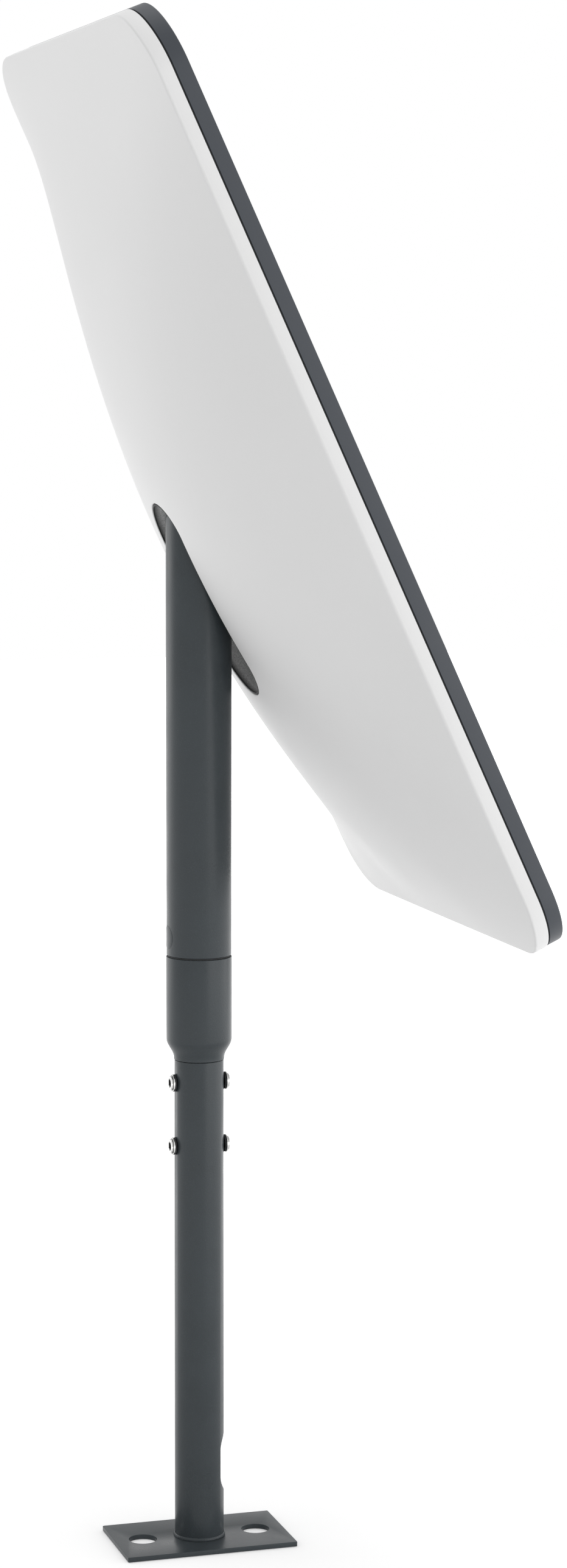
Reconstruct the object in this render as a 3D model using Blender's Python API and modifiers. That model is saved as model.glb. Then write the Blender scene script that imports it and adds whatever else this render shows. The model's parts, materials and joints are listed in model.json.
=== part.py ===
"""Motorised flat-panel antenna on a pole.

A rectangular antenna panel with a domed back leans on a round mast. A motor in the mast turns the
panel about the vertical, and a motor in the panel tilts it. The mast drops into a collar whose
spigot is screwed into a pole, and the pole is welded to a small base plate.

Metres, +Z up. The origin is the bottom centre of the base plate. +X is the way the panel faces,
seen from above, and Y is the tilt axis. The panel is modelled in a frame of its own, in which X runs
across it, Y up it, and Z out of its front, from the plane where the domed back meets the side wall.
"""

import math

import bmesh
import bpy
from mathutils import Vector

MM = 0.001
EMPTY_SIZE = 20.0 * MM  # as the joints' empties are drawn

# Fits
FIT_GAP = 0.3 * MM  # between two pieces that touch
SEAL_GAP = 0.25 * MM  # each side of a seal
HOLE_CLEARANCE = 0.3 * MM  # added to a pin's or screw's radius

# Base plate
PLATE_LENGTH = 94.0 * MM
PLATE_WIDTH = 56.4 * MM
PLATE_THICKNESS = 2.6 * MM
PLATE_CORNER = 0.8 * MM
PLATE_HOLE_RADIUS = 7.6 * MM
PLATE_HOLE_SPACING = 63.2 * MM
WELD_PROUD = 0.65 * MM  # of the pole
WELD_HEIGHT = 1.6 * MM

# Pole
POLE_RADIUS = 13.2 * MM
POLE_WALL = 1.6 * MM
POLE_LENGTH = 260.7 * MM
CABLE_HOLE_WIDTH = 18.8 * MM
CABLE_HOLE_HEIGHT = 33.6 * MM
CABLE_HOLE_CENTRE = 40.9 * MM  # above the plate

# Collar, which joins the mast to the pole
COLLAR_RADIUS = 17.5 * MM
COLLAR_NECK_RADIUS = 13.5 * MM
COLLAR_NECK_HEIGHT = 0.8 * MM
COLLAR_SHOULDER_HEIGHT = 10.4 * MM
COLLAR_CUP_HEIGHT = 44.2 * MM
COLLAR_BORE = 9.0 * MM
SPIGOT_LENGTH = 58.0 * MM
JOURNAL_RADIUS = 11.5 * MM
JOURNAL_HEIGHT = 32.5 * MM

# Clamp screws, two on each side of the pole
CLAMP_DROPS = (12.3 * MM, 46.5 * MM)  # below the top of the pole
CLAMP_SHANK_RADIUS = 2.5 * MM
CLAMP_HEAD_RADIUS = 4.7 * MM
CLAMP_HEAD_HEIGHT = 2.1 * MM
CLAMP_SOCKET_RADIUS = 1.9 * MM
CLAMP_SOCKET_DEPTH = 1.5 * MM
CLAMP_SOCKET_CHAMFER = 0.15 * MM
CLAMP_WASHER_RADIUS = 5.0 * MM
CLAMP_WASHER_HEIGHT = 0.7 * MM
CLAMP_NUT_RADIUS = 3.4 * MM
CLAMP_NUT_FLANGE = 4.4 * MM
CLAMP_NUT_FLANGE_HEIGHT = 1.2 * MM
CLAMP_NUT_REACH = 4.5 * MM  # the nut's whole length

# Mast
MAST_RADIUS = 17.35 * MM
MAST_WALL = 2.0 * MM
SEAM_HEIGHT = 0.95 * MM  # the dark line between collar and mast
SEAL_WIDTH = 1.4 * MM
PIVOT_HEIGHT = 228.15 * MM  # tilt axis above the bottom of the mast
MAST_ABOVE_PIVOT = 8.0 * MM
MAST_TOP_TAPER = (1.4 * MM, 4.0 * MM)  # inwards and down, so that the top swings clear of the well
HEAD_LENGTH = 41.0 * MM
HEAD_CHANNEL_RADIUS = 3.8 * MM
HEAD_CHANNEL_OFFSET = -10.0 * MM
HEAD_SCREW_DROP = 14.0 * MM  # below the tilt axis
HEAD_SCREW_RADIUS = 2.5 * MM
HEAD_SCREW_SHANK = 1.5 * MM
HEAD_SCREW_LENGTH = 8.0 * MM

# Azimuth bearings and drive
BEARING_HEIGHT = 7.0 * MM
BEARING_GROOVE = 0.5 * MM
BEARING_GROOVE_WIDTH = 1.2 * MM
RETAINER_HEIGHT = 3.2 * MM
RETAINER_WALL = 1.8 * MM
SPACER_WALL = 1.7 * MM
AZIMUTH_MODULE = 0.5 * MM
AZIMUTH_RING_TEETH = 32
AZIMUTH_PINION_TEETH = 12
AZIMUTH_GEAR_HEIGHT = 6.0 * MM
MOTOR_PLATE_GAP = 12.0 * MM  # above the ring gear
MOTOR_PLATE_HEIGHT = 4.0 * MM
MOTOR_RADIUS = 8.0 * MM
GEARBOX_LENGTH = 18.0 * MM
MOTOR_LENGTH = 24.0 * MM
MOTOR_STEP = 0.6 * MM  # the motor is this much thinner than its gearbox
DRIVE_SHAFT_RADIUS = 1.5 * MM

# Lead inside the mast
LEAD_RADIUS = 3.0 * MM
LEAD_IN_JOURNAL = -4.0 * MM
LEAD_IN_MOTOR_PLATE = -8.0 * MM
LEAD_STRAIGHT = 9.0 * MM  # before its first bend, and below the head
LEAD_BEND_DROP = 15.0 * MM  # of its second bend, below the top of the journal
LEAD_PLUG_RADIUS = 5.0 * MM
LEAD_PLUG_HEIGHT = 9.0 * MM
SOCKET_HEIGHT = 22.0 * MM
SOCKET_CLEARANCE = 1.3 * MM  # above the upper clamp nuts
JACK_WIDTH = 11.8 * MM
JACK_HEIGHT = 8.0 * MM
JACK_CORNER = 0.6 * MM
JACK_DEPTH = 14.0 * MM

# Panel
PANEL_LENGTH = 513.0 * MM
PANEL_WIDTH = 302.7 * MM
PANEL_CORNER = 33.0 * MM
REST_ELEVATION = math.radians(25.0)  # of the way the panel faces
HUMP_HEIGHT = 54.4 * MM
HUMP_SHIFT = -2.7 * MM  # along the panel, from its middle
PIVOT_DEPTH = 36.8 * MM  # tilt axis behind the back plane
PIVOT_OFFSET = 1.0 * MM  # tilt axis below the panel's middle
SHELL_WALL = 2.5 * MM
SIDE_HEIGHT = 7.35 * MM
EDGE_ROUND = 1.6 * MM
PANEL_SEAM = 0.9 * MM
GASKET_INSET = 0.9 * MM
GASKET_WIDTH = 1.4 * MM
BEZEL_HEIGHT = 7.85 * MM
BEZEL_WALL = 3.0 * MM
BEZEL_EDGE = 0.7 * MM
LEDGE_WIDTH = 8.6 * MM
RADOME_THICKNESS = 2.3 * MM
RADOME_RECESS = 0.2 * MM
CORE_CLEARANCE = 0.6 * MM
BOARD_THICKNESS = 1.6 * MM
CHASSIS_THICKNESS = 2.0 * MM
CHASSIS_INSET = 3.5 * MM

# Panel screws
PANEL_SCREW_INSET = 5.9 * MM
PANEL_SCREW_STATION = 190.0 * MM
PANEL_SCREW_SHANK = 1.3 * MM
PANEL_SCREW_HEAD = 2.4 * MM
PANEL_SCREW_HEAD_HEIGHT = 1.8 * MM
PANEL_SCREW_ENGAGED = 3.2 * MM
BOSS_RADIUS = 4.6 * MM
BOSS_BOTTOM = 0.35 * MM
BOSS_FLOOR = 0.9 * MM

# Slot for the mast, and the well behind it
SLOT_LENGTH = 115.4 * MM
SLOT_WIDTH = 41.0 * MM
SLOT_CENTRE = -38.7 * MM
WELL_WALL = 1.2 * MM
WELL_RIM_RECESS = 0.3 * MM  # below the dome
WELL_FLANGE = 2.0 * MM  # round the well, inside the shell
WELL_FLOOR = 15.0 * MM  # outer face of its floor, behind the back plane

# Tilt shaft, bearings and drive
SHAFT_RADIUS = 5.0 * MM
BLOCK_INNER = 23.2 * MM  # from the panel's middle line
BLOCK_THICKNESS = 10.0 * MM
BLOCK_FOOT = 44.0 * MM
BLOCK_ROUND = 9.5 * MM
BUSH_WALL = 1.7 * MM
BUSH_FLANGE = 1.2 * MM
CLIP_HEIGHT = 1.2 * MM
CLIP_RADIUS = 7.6 * MM
TILT_MODULE = 0.8 * MM
TILT_SECTOR_TEETH = 52  # of the full circle
TILT_PINION_TEETH = 12
TILT_TEETH_BELOW = 3  # cut on the sector below the pinion's place at rest
TILT_TEETH_ABOVE = 12
TILT_GEAR_WIDTH = 5.0 * MM
SECTOR_HUB_RADIUS = 8.0 * MM
BRACKET_THICKNESS = 2.5 * MM
BRACKET_SOLE = 1.25 * MM
BRACKET_WIDTH = 20.0 * MM
BRACKET_FOOT = 16.0 * MM

# Electronics on the chassis plate
CONTROL_BOARD_SIZE = (110.0 * MM, 120.0 * MM)
CONTROL_BOARD_CORNER = 3.0 * MM
CONTROL_BOARD_CENTRE = 130.0 * MM
SHIELD_SIZE = (60.0 * MM, 44.0 * MM)
SHIELD_CORNER = 2.0 * MM
SHIELD_HEIGHT = 4.0 * MM

# Teeth
ADDENDUM = 0.8  # of the module
DEDENDUM = 1.15
TOOTH_SHARE = 0.42  # tooth thickness as a share of the pitch
SPACE_SHARE = 0.58
FLANK_SLOPE = math.tan(math.radians(20.0))

# Roundness
TUBE_STEPS = 32
SHAFT_STEPS = 20
SMALL_STEPS = 12
SHOULDER_STEPS = 8
DOME_STEPS = 4
LEAD_BEND_STEPS = 4
HALF_STEP_TURN = (0.0, 0.0, math.pi / SMALL_STEPS)  # keeps a hole's corners off the panel's own lines
CORNER_STEPS = 6
SIDE_STEPS = (9, 5)  # along the panel's upright and level sides
SMOOTH_ANGLE = math.radians(35.0)
WELD_DISTANCE = 0.001 * MM
TURNED_MERGE = 0.01 * MM
SLOT_RINGS = (0.0, 0.1, 0.24, 0.4, 0.56, 0.72, 0.86, 0.96)

# Heights and places that follow
plate_top = PLATE_THICKNESS
pole_bottom = plate_top + FIT_GAP
pole_top = pole_bottom + POLE_LENGTH
pole_bore = POLE_RADIUS - POLE_WALL
cable_hole_height = plate_top + CABLE_HOLE_CENTRE
collar_bottom = pole_top + FIT_GAP
spigot_radius = pole_bore - FIT_GAP
collar_shoulder = collar_bottom + COLLAR_NECK_HEIGHT + COLLAR_SHOULDER_HEIGHT
collar_top = collar_shoulder + COLLAR_CUP_HEIGHT
socket_bottom = pole_top - CLAMP_DROPS[0] + CLAMP_NUT_FLANGE + SOCKET_CLEARANCE
socket_top = socket_bottom + SOCKET_HEIGHT
journal_top = collar_top + JOURNAL_HEIGHT
mast_bottom = collar_top + SEAM_HEIGHT
mast_bore = MAST_RADIUS - MAST_WALL
mast_length = PIVOT_HEIGHT + MAST_ABOVE_PIVOT
inner_fit = mast_bore - FIT_GAP
bearing_bore = JOURNAL_RADIUS + FIT_GAP
lower_bearing = collar_top + FIT_GAP
upper_bearing = journal_top - BEARING_HEIGHT - RETAINER_HEIGHT - FIT_GAP
azimuth_ring_radius = AZIMUTH_MODULE * AZIMUTH_RING_TEETH / 2
azimuth_pinion_radius = AZIMUTH_MODULE * AZIMUTH_PINION_TEETH / 2
azimuth_offset = azimuth_ring_radius - azimuth_pinion_radius
ring_gear_bottom = journal_top + FIT_GAP
motor_plate_bottom = ring_gear_bottom + AZIMUTH_GEAR_HEIGHT + MOTOR_PLATE_GAP
motor_bottom = motor_plate_bottom + MOTOR_PLATE_HEIGHT + FIT_GAP
edge_middle = EDGE_ROUND * (1 - math.sqrt(0.5))
bezel_bottom = SIDE_HEIGHT + PANEL_SEAM
panel_front = bezel_bottom + BEZEL_HEIGHT
radome_back = panel_front - RADOME_RECESS - RADOME_THICKNESS
ledge_top = radome_back - FIT_GAP
chassis_front = SIDE_HEIGHT - FIT_GAP
chassis_back = chassis_front - CHASSIS_THICKNESS
board_back = chassis_front + FIT_GAP
board_front = board_back + BOARD_THICKNESS
core_inset = LEDGE_WIDTH + CORE_CLEARANCE
boss_top = chassis_back - FIT_GAP
chassis_distance = PIVOT_DEPTH + chassis_back  # from the tilt axis
tilt_sector_radius = TILT_MODULE * TILT_SECTOR_TEETH / 2
tilt_pinion_radius = TILT_MODULE * TILT_PINION_TEETH / 2
tilt_offset = tilt_sector_radius + tilt_pinion_radius
block_outer = BLOCK_INNER + BLOCK_THICKNESS
sector_inner = block_outer + BUSH_FLANGE + 2 * FIT_GAP
sector_outer = sector_inner + TILT_GEAR_WIDTH
bracket_inner = sector_outer + 3 * FIT_GAP + CLIP_HEIGHT
bracket_outer = bracket_inner + BRACKET_THICKNESS


def clear_scene():
    for obj in list(bpy.data.objects):
        bpy.data.objects.remove(obj, do_unlink=True)


def new_collection(name, hidden=False):
    collection = bpy.data.collections.new(name)
    bpy.context.scene.collection.children.link(collection)
    collection.hide_render = hidden
    return collection


clear_scene()
PIECES = new_collection("flat_panel_antenna")
CUTTERS = new_collection("cutters", hidden=True)


def finish(name, colour, roughness, metallic=0.0):
    material = bpy.data.materials.new(name)
    material.use_nodes = True
    shader = material.node_tree.nodes["Principled BSDF"]
    shader.inputs["Base Color"].default_value = (*colour, 1.0)
    shader.inputs["Roughness"].default_value = roughness
    shader.inputs["Metallic"].default_value = metallic
    return material


WHITE_SHELL = finish("white_shell", (0.75, 0.75, 0.75), 0.45)
DARK_COAT = finish("dark_powder_coat", (0.030, 0.036, 0.041), 0.35)
DARK_RIM = finish("dark_rim", (0.042, 0.048, 0.058), 0.45)
GREY_LINER = finish("grey_liner", (0.60, 0.60, 0.60), 0.7)
BLACK_RUBBER = finish("black_rubber", (0.02, 0.02, 0.022), 0.75)
BRIGHT_STEEL = finish("bright_steel", (0.62, 0.62, 0.60), 0.25, 1.0)
BEARING_STEEL = finish("bearing_steel", (0.55, 0.55, 0.56), 0.2, 1.0)
CAST_METAL = finish("cast_aluminium", (0.52, 0.53, 0.54), 0.45, 1.0)
BRASS = finish("brass", (0.60, 0.45, 0.20), 0.3, 1.0)
GEAR_PLASTIC = finish("gear_plastic", (0.80, 0.78, 0.70), 0.5)
BOARD_GREEN = finish("circuit_board", (0.03, 0.14, 0.06), 0.5)
CORE_FOAM = finish("core_foam", (0.75, 0.74, 0.70), 0.9)
LEAD_BLACK = finish("lead_black", (0.03, 0.03, 0.03), 0.6)


def frame(name, parent=None, at=(0.0, 0.0, 0.0), turn=(0.0, 0.0, 0.0)):
    empty = bpy.data.objects.new(name, None)
    empty.location = at
    empty.rotation_euler = turn
    empty.parent = parent
    empty.empty_display_size = EMPTY_SIZE
    PIECES.objects.link(empty)
    return empty


QUARTER = math.radians(90.0)
MOUNT = frame("mount_frame")
MAST = frame("azimuth_axis", at=(0.0, 0.0, mast_bottom))
TILT_PIVOT = frame("tilt_axis", MAST, (0.0, 0.0, PIVOT_HEIGHT), (0.0, -REST_ELEVATION, 0.0))
# In these two X stays, Y goes up the mast or the panel, and Z is the tilt axis, towards -Y.
MAST_TILT = frame("mast_tilt_frame", MAST, (0.0, 0.0, PIVOT_HEIGHT), (QUARTER, 0.0, 0.0))
PANEL_TILT = frame("panel_tilt_frame", TILT_PIVOT, turn=(QUARTER, 0.0, 0.0))
# X across the panel, Y up it, Z out of its front.
PANEL = frame("panel_frame", TILT_PIVOT, (PIVOT_DEPTH, 0.0, PIVOT_OFFSET), (QUARTER, 0.0, QUARTER))


def place(obj, parent, at, turn):
    obj.parent = parent
    obj.location = at
    obj.rotation_euler = turn


def shade(mesh):
    mesh.shade_smooth()
    mesh.set_sharp_from_angle(angle=SMOOTH_ANGLE)


def add_mesh(name, mesh, parent, material, at=(0.0, 0.0, 0.0), turn=(0.0, 0.0, 0.0)):
    """A piece, or a cutter where no material is given."""
    obj = bpy.data.objects.new(name, mesh)
    if material is None:
        CUTTERS.objects.link(obj)
        obj.hide_render = True
        obj.display_type = "WIRE"
    else:
        mesh.materials.append(material)
        PIECES.objects.link(obj)
    place(obj, parent, at, turn)
    return obj


def boolean(obj, other, operation):
    modifier = obj.modifiers.new(operation.lower(), "BOOLEAN")
    modifier.operation = operation
    modifier.object = other


def circle(radius, steps, centre=(0.0, 0.0)):
    turns = [2 * math.pi * i / steps for i in range(steps)]
    return [(centre[0] + radius * math.cos(t), centre[1] + radius * math.sin(t)) for t in turns]


def arc(radius, start, end, steps, centre=(0.0, 0.0)):
    turns = [start + (end - start) * i / steps for i in range(steps + 1)]
    return [(centre[0] + radius * math.cos(t), centre[1] + radius * math.sin(t)) for t in turns]


def rounded_rectangle(width, height, radius, steps, along=(0, 0), centre=(0.0, 0.0)):
    """Round-cornered outline with extra points along its upright and its level sides."""
    x, y = width / 2 - radius, height / 2 - radius
    corners = ((x, y), (-x, y), (-x, -y), (x, -y))
    sides = ((-2 * x, 0.0), (0.0, -2 * y), (2 * x, 0.0), (0.0, 2 * y))
    points = []
    for i, corner in enumerate(corners):
        start = i * QUARTER
        points += arc(radius, start, start + QUARTER, steps, corner)
        here = Vector(points[-1])
        extra = along[1 - i % 2]
        points += [tuple(here + Vector(sides[i]) * (j / (extra + 1))) for j in range(1, extra + 1)]
    return [(px + centre[0], py + centre[1]) for px, py in points]


def obround(width, height, steps):
    radius = width / 2
    rise = height / 2 - radius
    top = arc(radius, 0.0, 2 * QUARTER, steps, (0.0, rise))
    return top + arc(radius, 2 * QUARTER, 4 * QUARTER, steps, (0.0, -rise))


def flat_mesh(name, outlines, thickness):
    """The outline, less any outline inside it, with its thickness rising from Z = 0."""
    curve = bpy.data.curves.new(name, "CURVE")
    curve.dimensions = "2D"
    curve.fill_mode = "BOTH"
    curve.extrude = thickness / 2
    for outline in outlines:
        spline = curve.splines.new("POLY")
        spline.points.add(len(outline) - 1)
        for point, (x, y) in zip(spline.points, outline):
            point.co = (x, y, 0.0, 1.0)
        spline.use_cyclic_u = True
    return mesh_of_curve(curve, lift=thickness / 2)


def mesh_of_curve(curve, lift=0.0):
    guide = bpy.data.objects.new(curve.name, curve)
    PIECES.objects.link(guide)
    bpy.context.view_layer.update()
    graph = bpy.context.evaluated_depsgraph_get()
    mesh = bpy.data.meshes.new_from_object(guide.evaluated_get(graph))
    bpy.data.objects.remove(guide, do_unlink=True)
    shape = bmesh.new()
    shape.from_mesh(mesh)
    bmesh.ops.remove_doubles(shape, verts=shape.verts, dist=WELD_DISTANCE)
    bmesh.ops.translate(shape, verts=shape.verts, vec=(0.0, 0.0, lift))
    bmesh.ops.recalc_face_normals(shape, faces=shape.faces)
    shape.to_mesh(mesh)
    shape.free()
    mesh.materials.clear()
    shade(mesh)
    return mesh


def flat(name, parent, material, outlines, bottom, thickness, at=(0.0, 0.0), turn=(0.0, 0.0, 0.0)):
    mesh = flat_mesh(name, outlines, thickness)
    return add_mesh(name, mesh, parent, material, (at[0], at[1], bottom), turn)


def turned(name, parent, material, profile, steps=TUBE_STEPS, at=(0.0, 0.0, 0.0), turn=(0.0, 0.0, 0.0)):
    """A profile of (radius, height), top to bottom outside, turned about Z.

    A profile that starts and ends on the axis is solid, and any other is closed into a ring.
    """
    mesh = bpy.data.meshes.new(name)
    on_axis = profile[0][0] == 0.0 and profile[-1][0] == 0.0
    edges = [(i, i + 1) for i in range(len(profile) - 1)]
    if not on_axis:
        edges.append((len(profile) - 1, 0))
    mesh.from_pydata([(r, 0.0, z) for r, z in profile], edges, [])
    obj = add_mesh(name, mesh, parent, material, at, turn)
    screw = obj.modifiers.new("turned", "SCREW")
    screw.steps = steps
    screw.render_steps = steps
    screw.use_merge_vertices = True
    screw.merge_threshold = TURNED_MERGE
    screw.use_smooth_shade = True
    return obj


def tube_profile(outer, inner, bottom, top):
    return [(outer, top), (outer, bottom), (inner, bottom), (inner, top)]


def rod_profile(radius, bottom, top):
    return [(0.0, top), (radius, top), (radius, bottom), (0.0, bottom)]


def loft(name, parent, material, rings, looped):
    """Skin through rings of points: joined end to end, or closed with a face at each end."""
    mesh = bpy.data.meshes.new(name)
    shape = bmesh.new()
    rows = [[shape.verts.new(point) for point in ring] for ring in rings]
    pairs = list(zip(rows, rows[1:]))
    if looped:
        pairs.append((rows[-1], rows[0]))
    for near, far in pairs:
        for i in range(len(near)):
            j = (i + 1) % len(near)
            shape.faces.new((near[i], near[j], far[j], far[i]))
    if not looped:
        shape.faces.new(rows[0])
        shape.faces.new(rows[-1])
    bmesh.ops.recalc_face_normals(shape, faces=shape.faces)
    shape.to_mesh(mesh)
    shape.free()
    shade(mesh)
    return add_mesh(name, mesh, parent, material)


def tooth_points(centre, radius, module, share):
    """The four corners of one tooth, across it."""
    tip = radius + ADDENDUM * module
    root = radius - DEDENDUM * module
    thick = share * math.pi * module / 2
    at_root = (thick + (radius - root) * FLANK_SLOPE) / root
    at_tip = (thick - (tip - radius) * FLANK_SLOPE) / tip
    corners = ((root, -at_root), (tip, -at_tip), (tip, at_tip), (root, at_root))
    return [(r * math.cos(centre + a), r * math.sin(centre + a)) for r, a in corners]


def gear_outline(teeth, module, phase=0.0):
    """Gear outline with a tooth at the phase angle."""
    points = []
    for i in range(teeth):
        points += tooth_points(phase + 2 * math.pi * i / teeth, module * teeth / 2, module, TOOTH_SHARE)
    return points


def ring_gear_hole(teeth, module):
    """Toothed hole of a ring gear, with a space between teeth on the X axis."""
    radius = module * teeth / 2
    points = []
    for i in range(teeth):
        centre = 2 * math.pi * i / teeth
        thick = SPACE_SHARE * math.pi * module / 2
        for r, side in ((radius - ADDENDUM * module, -1), (radius + DEDENDUM * module, -1),
                        (radius + DEDENDUM * module, 1), (radius - ADDENDUM * module, 1)):
            a = centre + side * (thick - (r - radius) * FLANK_SLOPE) / r
            points.append((r * math.cos(a), r * math.sin(a)))
    return points


def hump(x, y):
    """Height of the domed back over the back plane at a point of the panel."""
    reach = PANEL_LENGTH / 2 + (HUMP_SHIFT if y < HUMP_SHIFT else -HUMP_SHIFT)
    along = max(0.0, 1 - ((y - HUMP_SHIFT) / reach) ** 2)
    across = max(0.0, 1 - (2 * x / PANEL_WIDTH) ** 2)
    return HUMP_HEIGHT * along * across


def panel_outline(inset, steps=CORNER_STEPS):
    width = PANEL_WIDTH - 2 * inset
    return rounded_rectangle(width, PANEL_LENGTH - 2 * inset, PANEL_CORNER - inset, steps, SIDE_STEPS)


def slot_outline(grow):
    """The slot's round-ended outline, with one point for each point of the panel's outline."""
    radius = SLOT_WIDTH / 2 + grow
    rise = (SLOT_LENGTH - SLOT_WIDTH) / 2
    reach = PANEL_LENGTH / 2 - PANEL_CORNER
    points = []
    for x, y in panel_outline(0.0):
        level = max(-reach, min(reach, y))
        turn = math.atan2((y - level) / PANEL_CORNER, 2 * x / PANEL_WIDTH)
        side = SLOT_CENTRE + rise * level / reach
        points.append((radius * math.cos(turn), side + radius * math.sin(turn)))
    return points


def blended(share, inset):
    """An outline on the way from the slot (0) to the panel's edge (1)."""
    ends = zip(slot_outline(0.0), panel_outline(inset))
    return [(a[0] + (b[0] - a[0]) * share, a[1] + (b[1] - a[1]) * share) for a, b in ends]


def back_ring(share, inset, depth):
    return [(x, y, depth - hump(x, y)) for x, y in blended(share, inset)]


def level_ring(outline, height):
    return [(x, y, height) for x, y in outline]


def panel_screw_places():
    x = PANEL_WIDTH / 2 - PANEL_SCREW_INSET
    y = PANEL_LENGTH / 2 - PANEL_SCREW_INSET
    sides = [(side * x, station * PANEL_SCREW_STATION) for side in (-1, 1) for station in (-1, 0, 1)]
    return sides + [(0.0, -y), (0.0, y)]


def base_plate():
    outlines = [rounded_rectangle(PLATE_LENGTH, PLATE_WIDTH, PLATE_CORNER, 2)]
    for side in (-1, 1):
        outlines.append(circle(PLATE_HOLE_RADIUS, SHAFT_STEPS, (side * PLATE_HOLE_SPACING / 2, 0.0)))
    flat("base_plate", MOUNT, DARK_COAT, outlines, 0.0, PLATE_THICKNESS)


def weld_bead():
    """The fillet of weld round the foot of the pole, with a round face."""
    inner = POLE_RADIUS + FIT_GAP
    foot = plate_top + FIT_GAP
    proud = WELD_PROUD - FIT_GAP
    face = [(inner + proud * x, foot + WELD_HEIGHT * y) for x, y in arc(1.0, QUARTER, 0.0, DOME_STEPS)]
    turned("weld_bead", MOUNT, DARK_COAT, [*face, (inner, foot)])


def pole_tube():
    wall = tube_profile(POLE_RADIUS, pole_bore, pole_bottom, pole_top)
    pole = turned("pole_tube", MOUNT, DARK_COAT, wall)
    outline = obround(CABLE_HOLE_WIDTH, CABLE_HOLE_HEIGHT, SMALL_STEPS)
    hole = flat("cable_hole_cutter", MOUNT, None, [outline], cable_hole_height, 2 * POLE_RADIUS,
                turn=(QUARTER, 0.0, QUARTER))
    boolean(pole, hole, "DIFFERENCE")
    for i, drop in enumerate(CLAMP_DROPS, 1):
        hole = side_hole(f"clamp_hole_cutter_{i}", CLAMP_SHANK_RADIUS + HOLE_CLEARANCE, drop)
        boolean(pole, hole, "DIFFERENCE")


def side_hole(name, radius, drop):
    """A cutter straight through the pole along X, below its top."""
    reach = POLE_RADIUS + POLE_WALL
    return turned(name, MOUNT, None, rod_profile(radius, -reach, reach), SMALL_STEPS,
                  at=(0.0, 0.0, pole_top - drop), turn=(0.0, QUARTER, 0.0))


def mast_collar():
    """Spigot, shoulder, cup and bearing journal, turned in one piece."""
    middle = (COLLAR_RADIUS + COLLAR_NECK_RADIUS) / 2
    swing = (COLLAR_RADIUS - COLLAR_NECK_RADIUS) / 2
    shares = [i / SHOULDER_STEPS for i in range(SHOULDER_STEPS + 1)]
    shoulder = [
        (middle + swing * math.cos(math.pi * share), collar_shoulder - COLLAR_SHOULDER_HEIGHT * share)
        for share in shares
    ]
    profile = [
        (COLLAR_BORE, journal_top),
        (JOURNAL_RADIUS, journal_top),
        (JOURNAL_RADIUS, collar_top),
        (COLLAR_RADIUS, collar_top),
        *shoulder,
        (COLLAR_NECK_RADIUS, collar_bottom),
        (spigot_radius, collar_bottom),
        (spigot_radius, pole_top - SPIGOT_LENGTH),
        (COLLAR_BORE, pole_top - SPIGOT_LENGTH),
    ]
    collar = turned("mast_collar", MOUNT, DARK_COAT, profile)
    for i, drop in enumerate(CLAMP_DROPS, 1):
        hole = side_hole(f"nut_hole_cutter_{i}", CLAMP_NUT_RADIUS + HOLE_CLEARANCE, drop)
        boolean(collar, hole, "DIFFERENCE")


def clamp_fasteners():
    """A button screw, its washer and its nut insert at each of the four places."""
    seat = POLE_RADIUS + FIT_GAP
    under_head = seat + CLAMP_WASHER_HEIGHT + FIT_GAP
    head_top = under_head + CLAMP_HEAD_HEIGHT
    flange = math.sqrt(COLLAR_BORE**2 - CLAMP_NUT_FLANGE**2) - FIT_GAP
    sleeve_end = flange - CLAMP_NUT_FLANGE_HEIGHT + CLAMP_NUT_REACH
    tip = flange - CLAMP_NUT_FLANGE_HEIGHT + FIT_GAP
    rim = CLAMP_SOCKET_RADIUS + CLAMP_SOCKET_CHAMFER
    rim_turn = math.asin(rim / CLAMP_HEAD_RADIUS)
    dome = [
        (CLAMP_HEAD_RADIUS * y, under_head + CLAMP_HEAD_HEIGHT * x)
        for x, y in arc(1.0, rim_turn, QUARTER, DOME_STEPS)
    ]
    screw = [
        (0.0, head_top - CLAMP_SOCKET_DEPTH),
        (CLAMP_SOCKET_RADIUS, head_top - CLAMP_SOCKET_DEPTH),
        (CLAMP_SOCKET_RADIUS, dome[0][1] - CLAMP_SOCKET_CHAMFER),
        *dome,
        (CLAMP_SHANK_RADIUS, under_head),
        (CLAMP_SHANK_RADIUS, tip),
        (0.0, tip),
    ]
    washer = tube_profile(CLAMP_WASHER_RADIUS, CLAMP_SHANK_RADIUS + HOLE_CLEARANCE,
                          seat, seat + CLAMP_WASHER_HEIGHT)
    bore = CLAMP_SHANK_RADIUS + HOLE_CLEARANCE
    nut = [
        (bore, sleeve_end),
        (CLAMP_NUT_RADIUS, sleeve_end),
        (CLAMP_NUT_RADIUS, flange),
        (CLAMP_NUT_FLANGE, flange),
        (CLAMP_NUT_FLANGE, flange - CLAMP_NUT_FLANGE_HEIGHT),
        (bore, flange - CLAMP_NUT_FLANGE_HEIGHT),
    ]
    number = 0
    for side in (-1, 1):
        for drop in CLAMP_DROPS:
            number += 1
            at = (0.0, 0.0, pole_top - drop)
            turn = (0.0, side * QUARTER, 0.0)
            turned(f"clamp_screw_{number}", MOUNT, BRIGHT_STEEL, screw, SMALL_STEPS, at, turn)
            turned(f"clamp_washer_{number}", MOUNT, BLACK_RUBBER, washer, SMALL_STEPS, at, turn)
            turned(f"clamp_nut_{number}", MOUNT, BRASS, nut, SMALL_STEPS, at, turn)


def cable_socket():
    """The socket that the lead plugs into, at the foot of the collar."""
    socket = turned("cable_socket", MOUNT, LEAD_BLACK,
                    rod_profile(COLLAR_BORE - FIT_GAP, socket_bottom, socket_top))
    outline = rounded_rectangle(JACK_WIDTH, JACK_HEIGHT, JACK_CORNER, 2)
    jack = flat("jack_cutter", MOUNT, None, [outline], socket_bottom - JACK_DEPTH, 2 * JACK_DEPTH)
    boolean(socket, jack, "DIFFERENCE")


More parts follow.
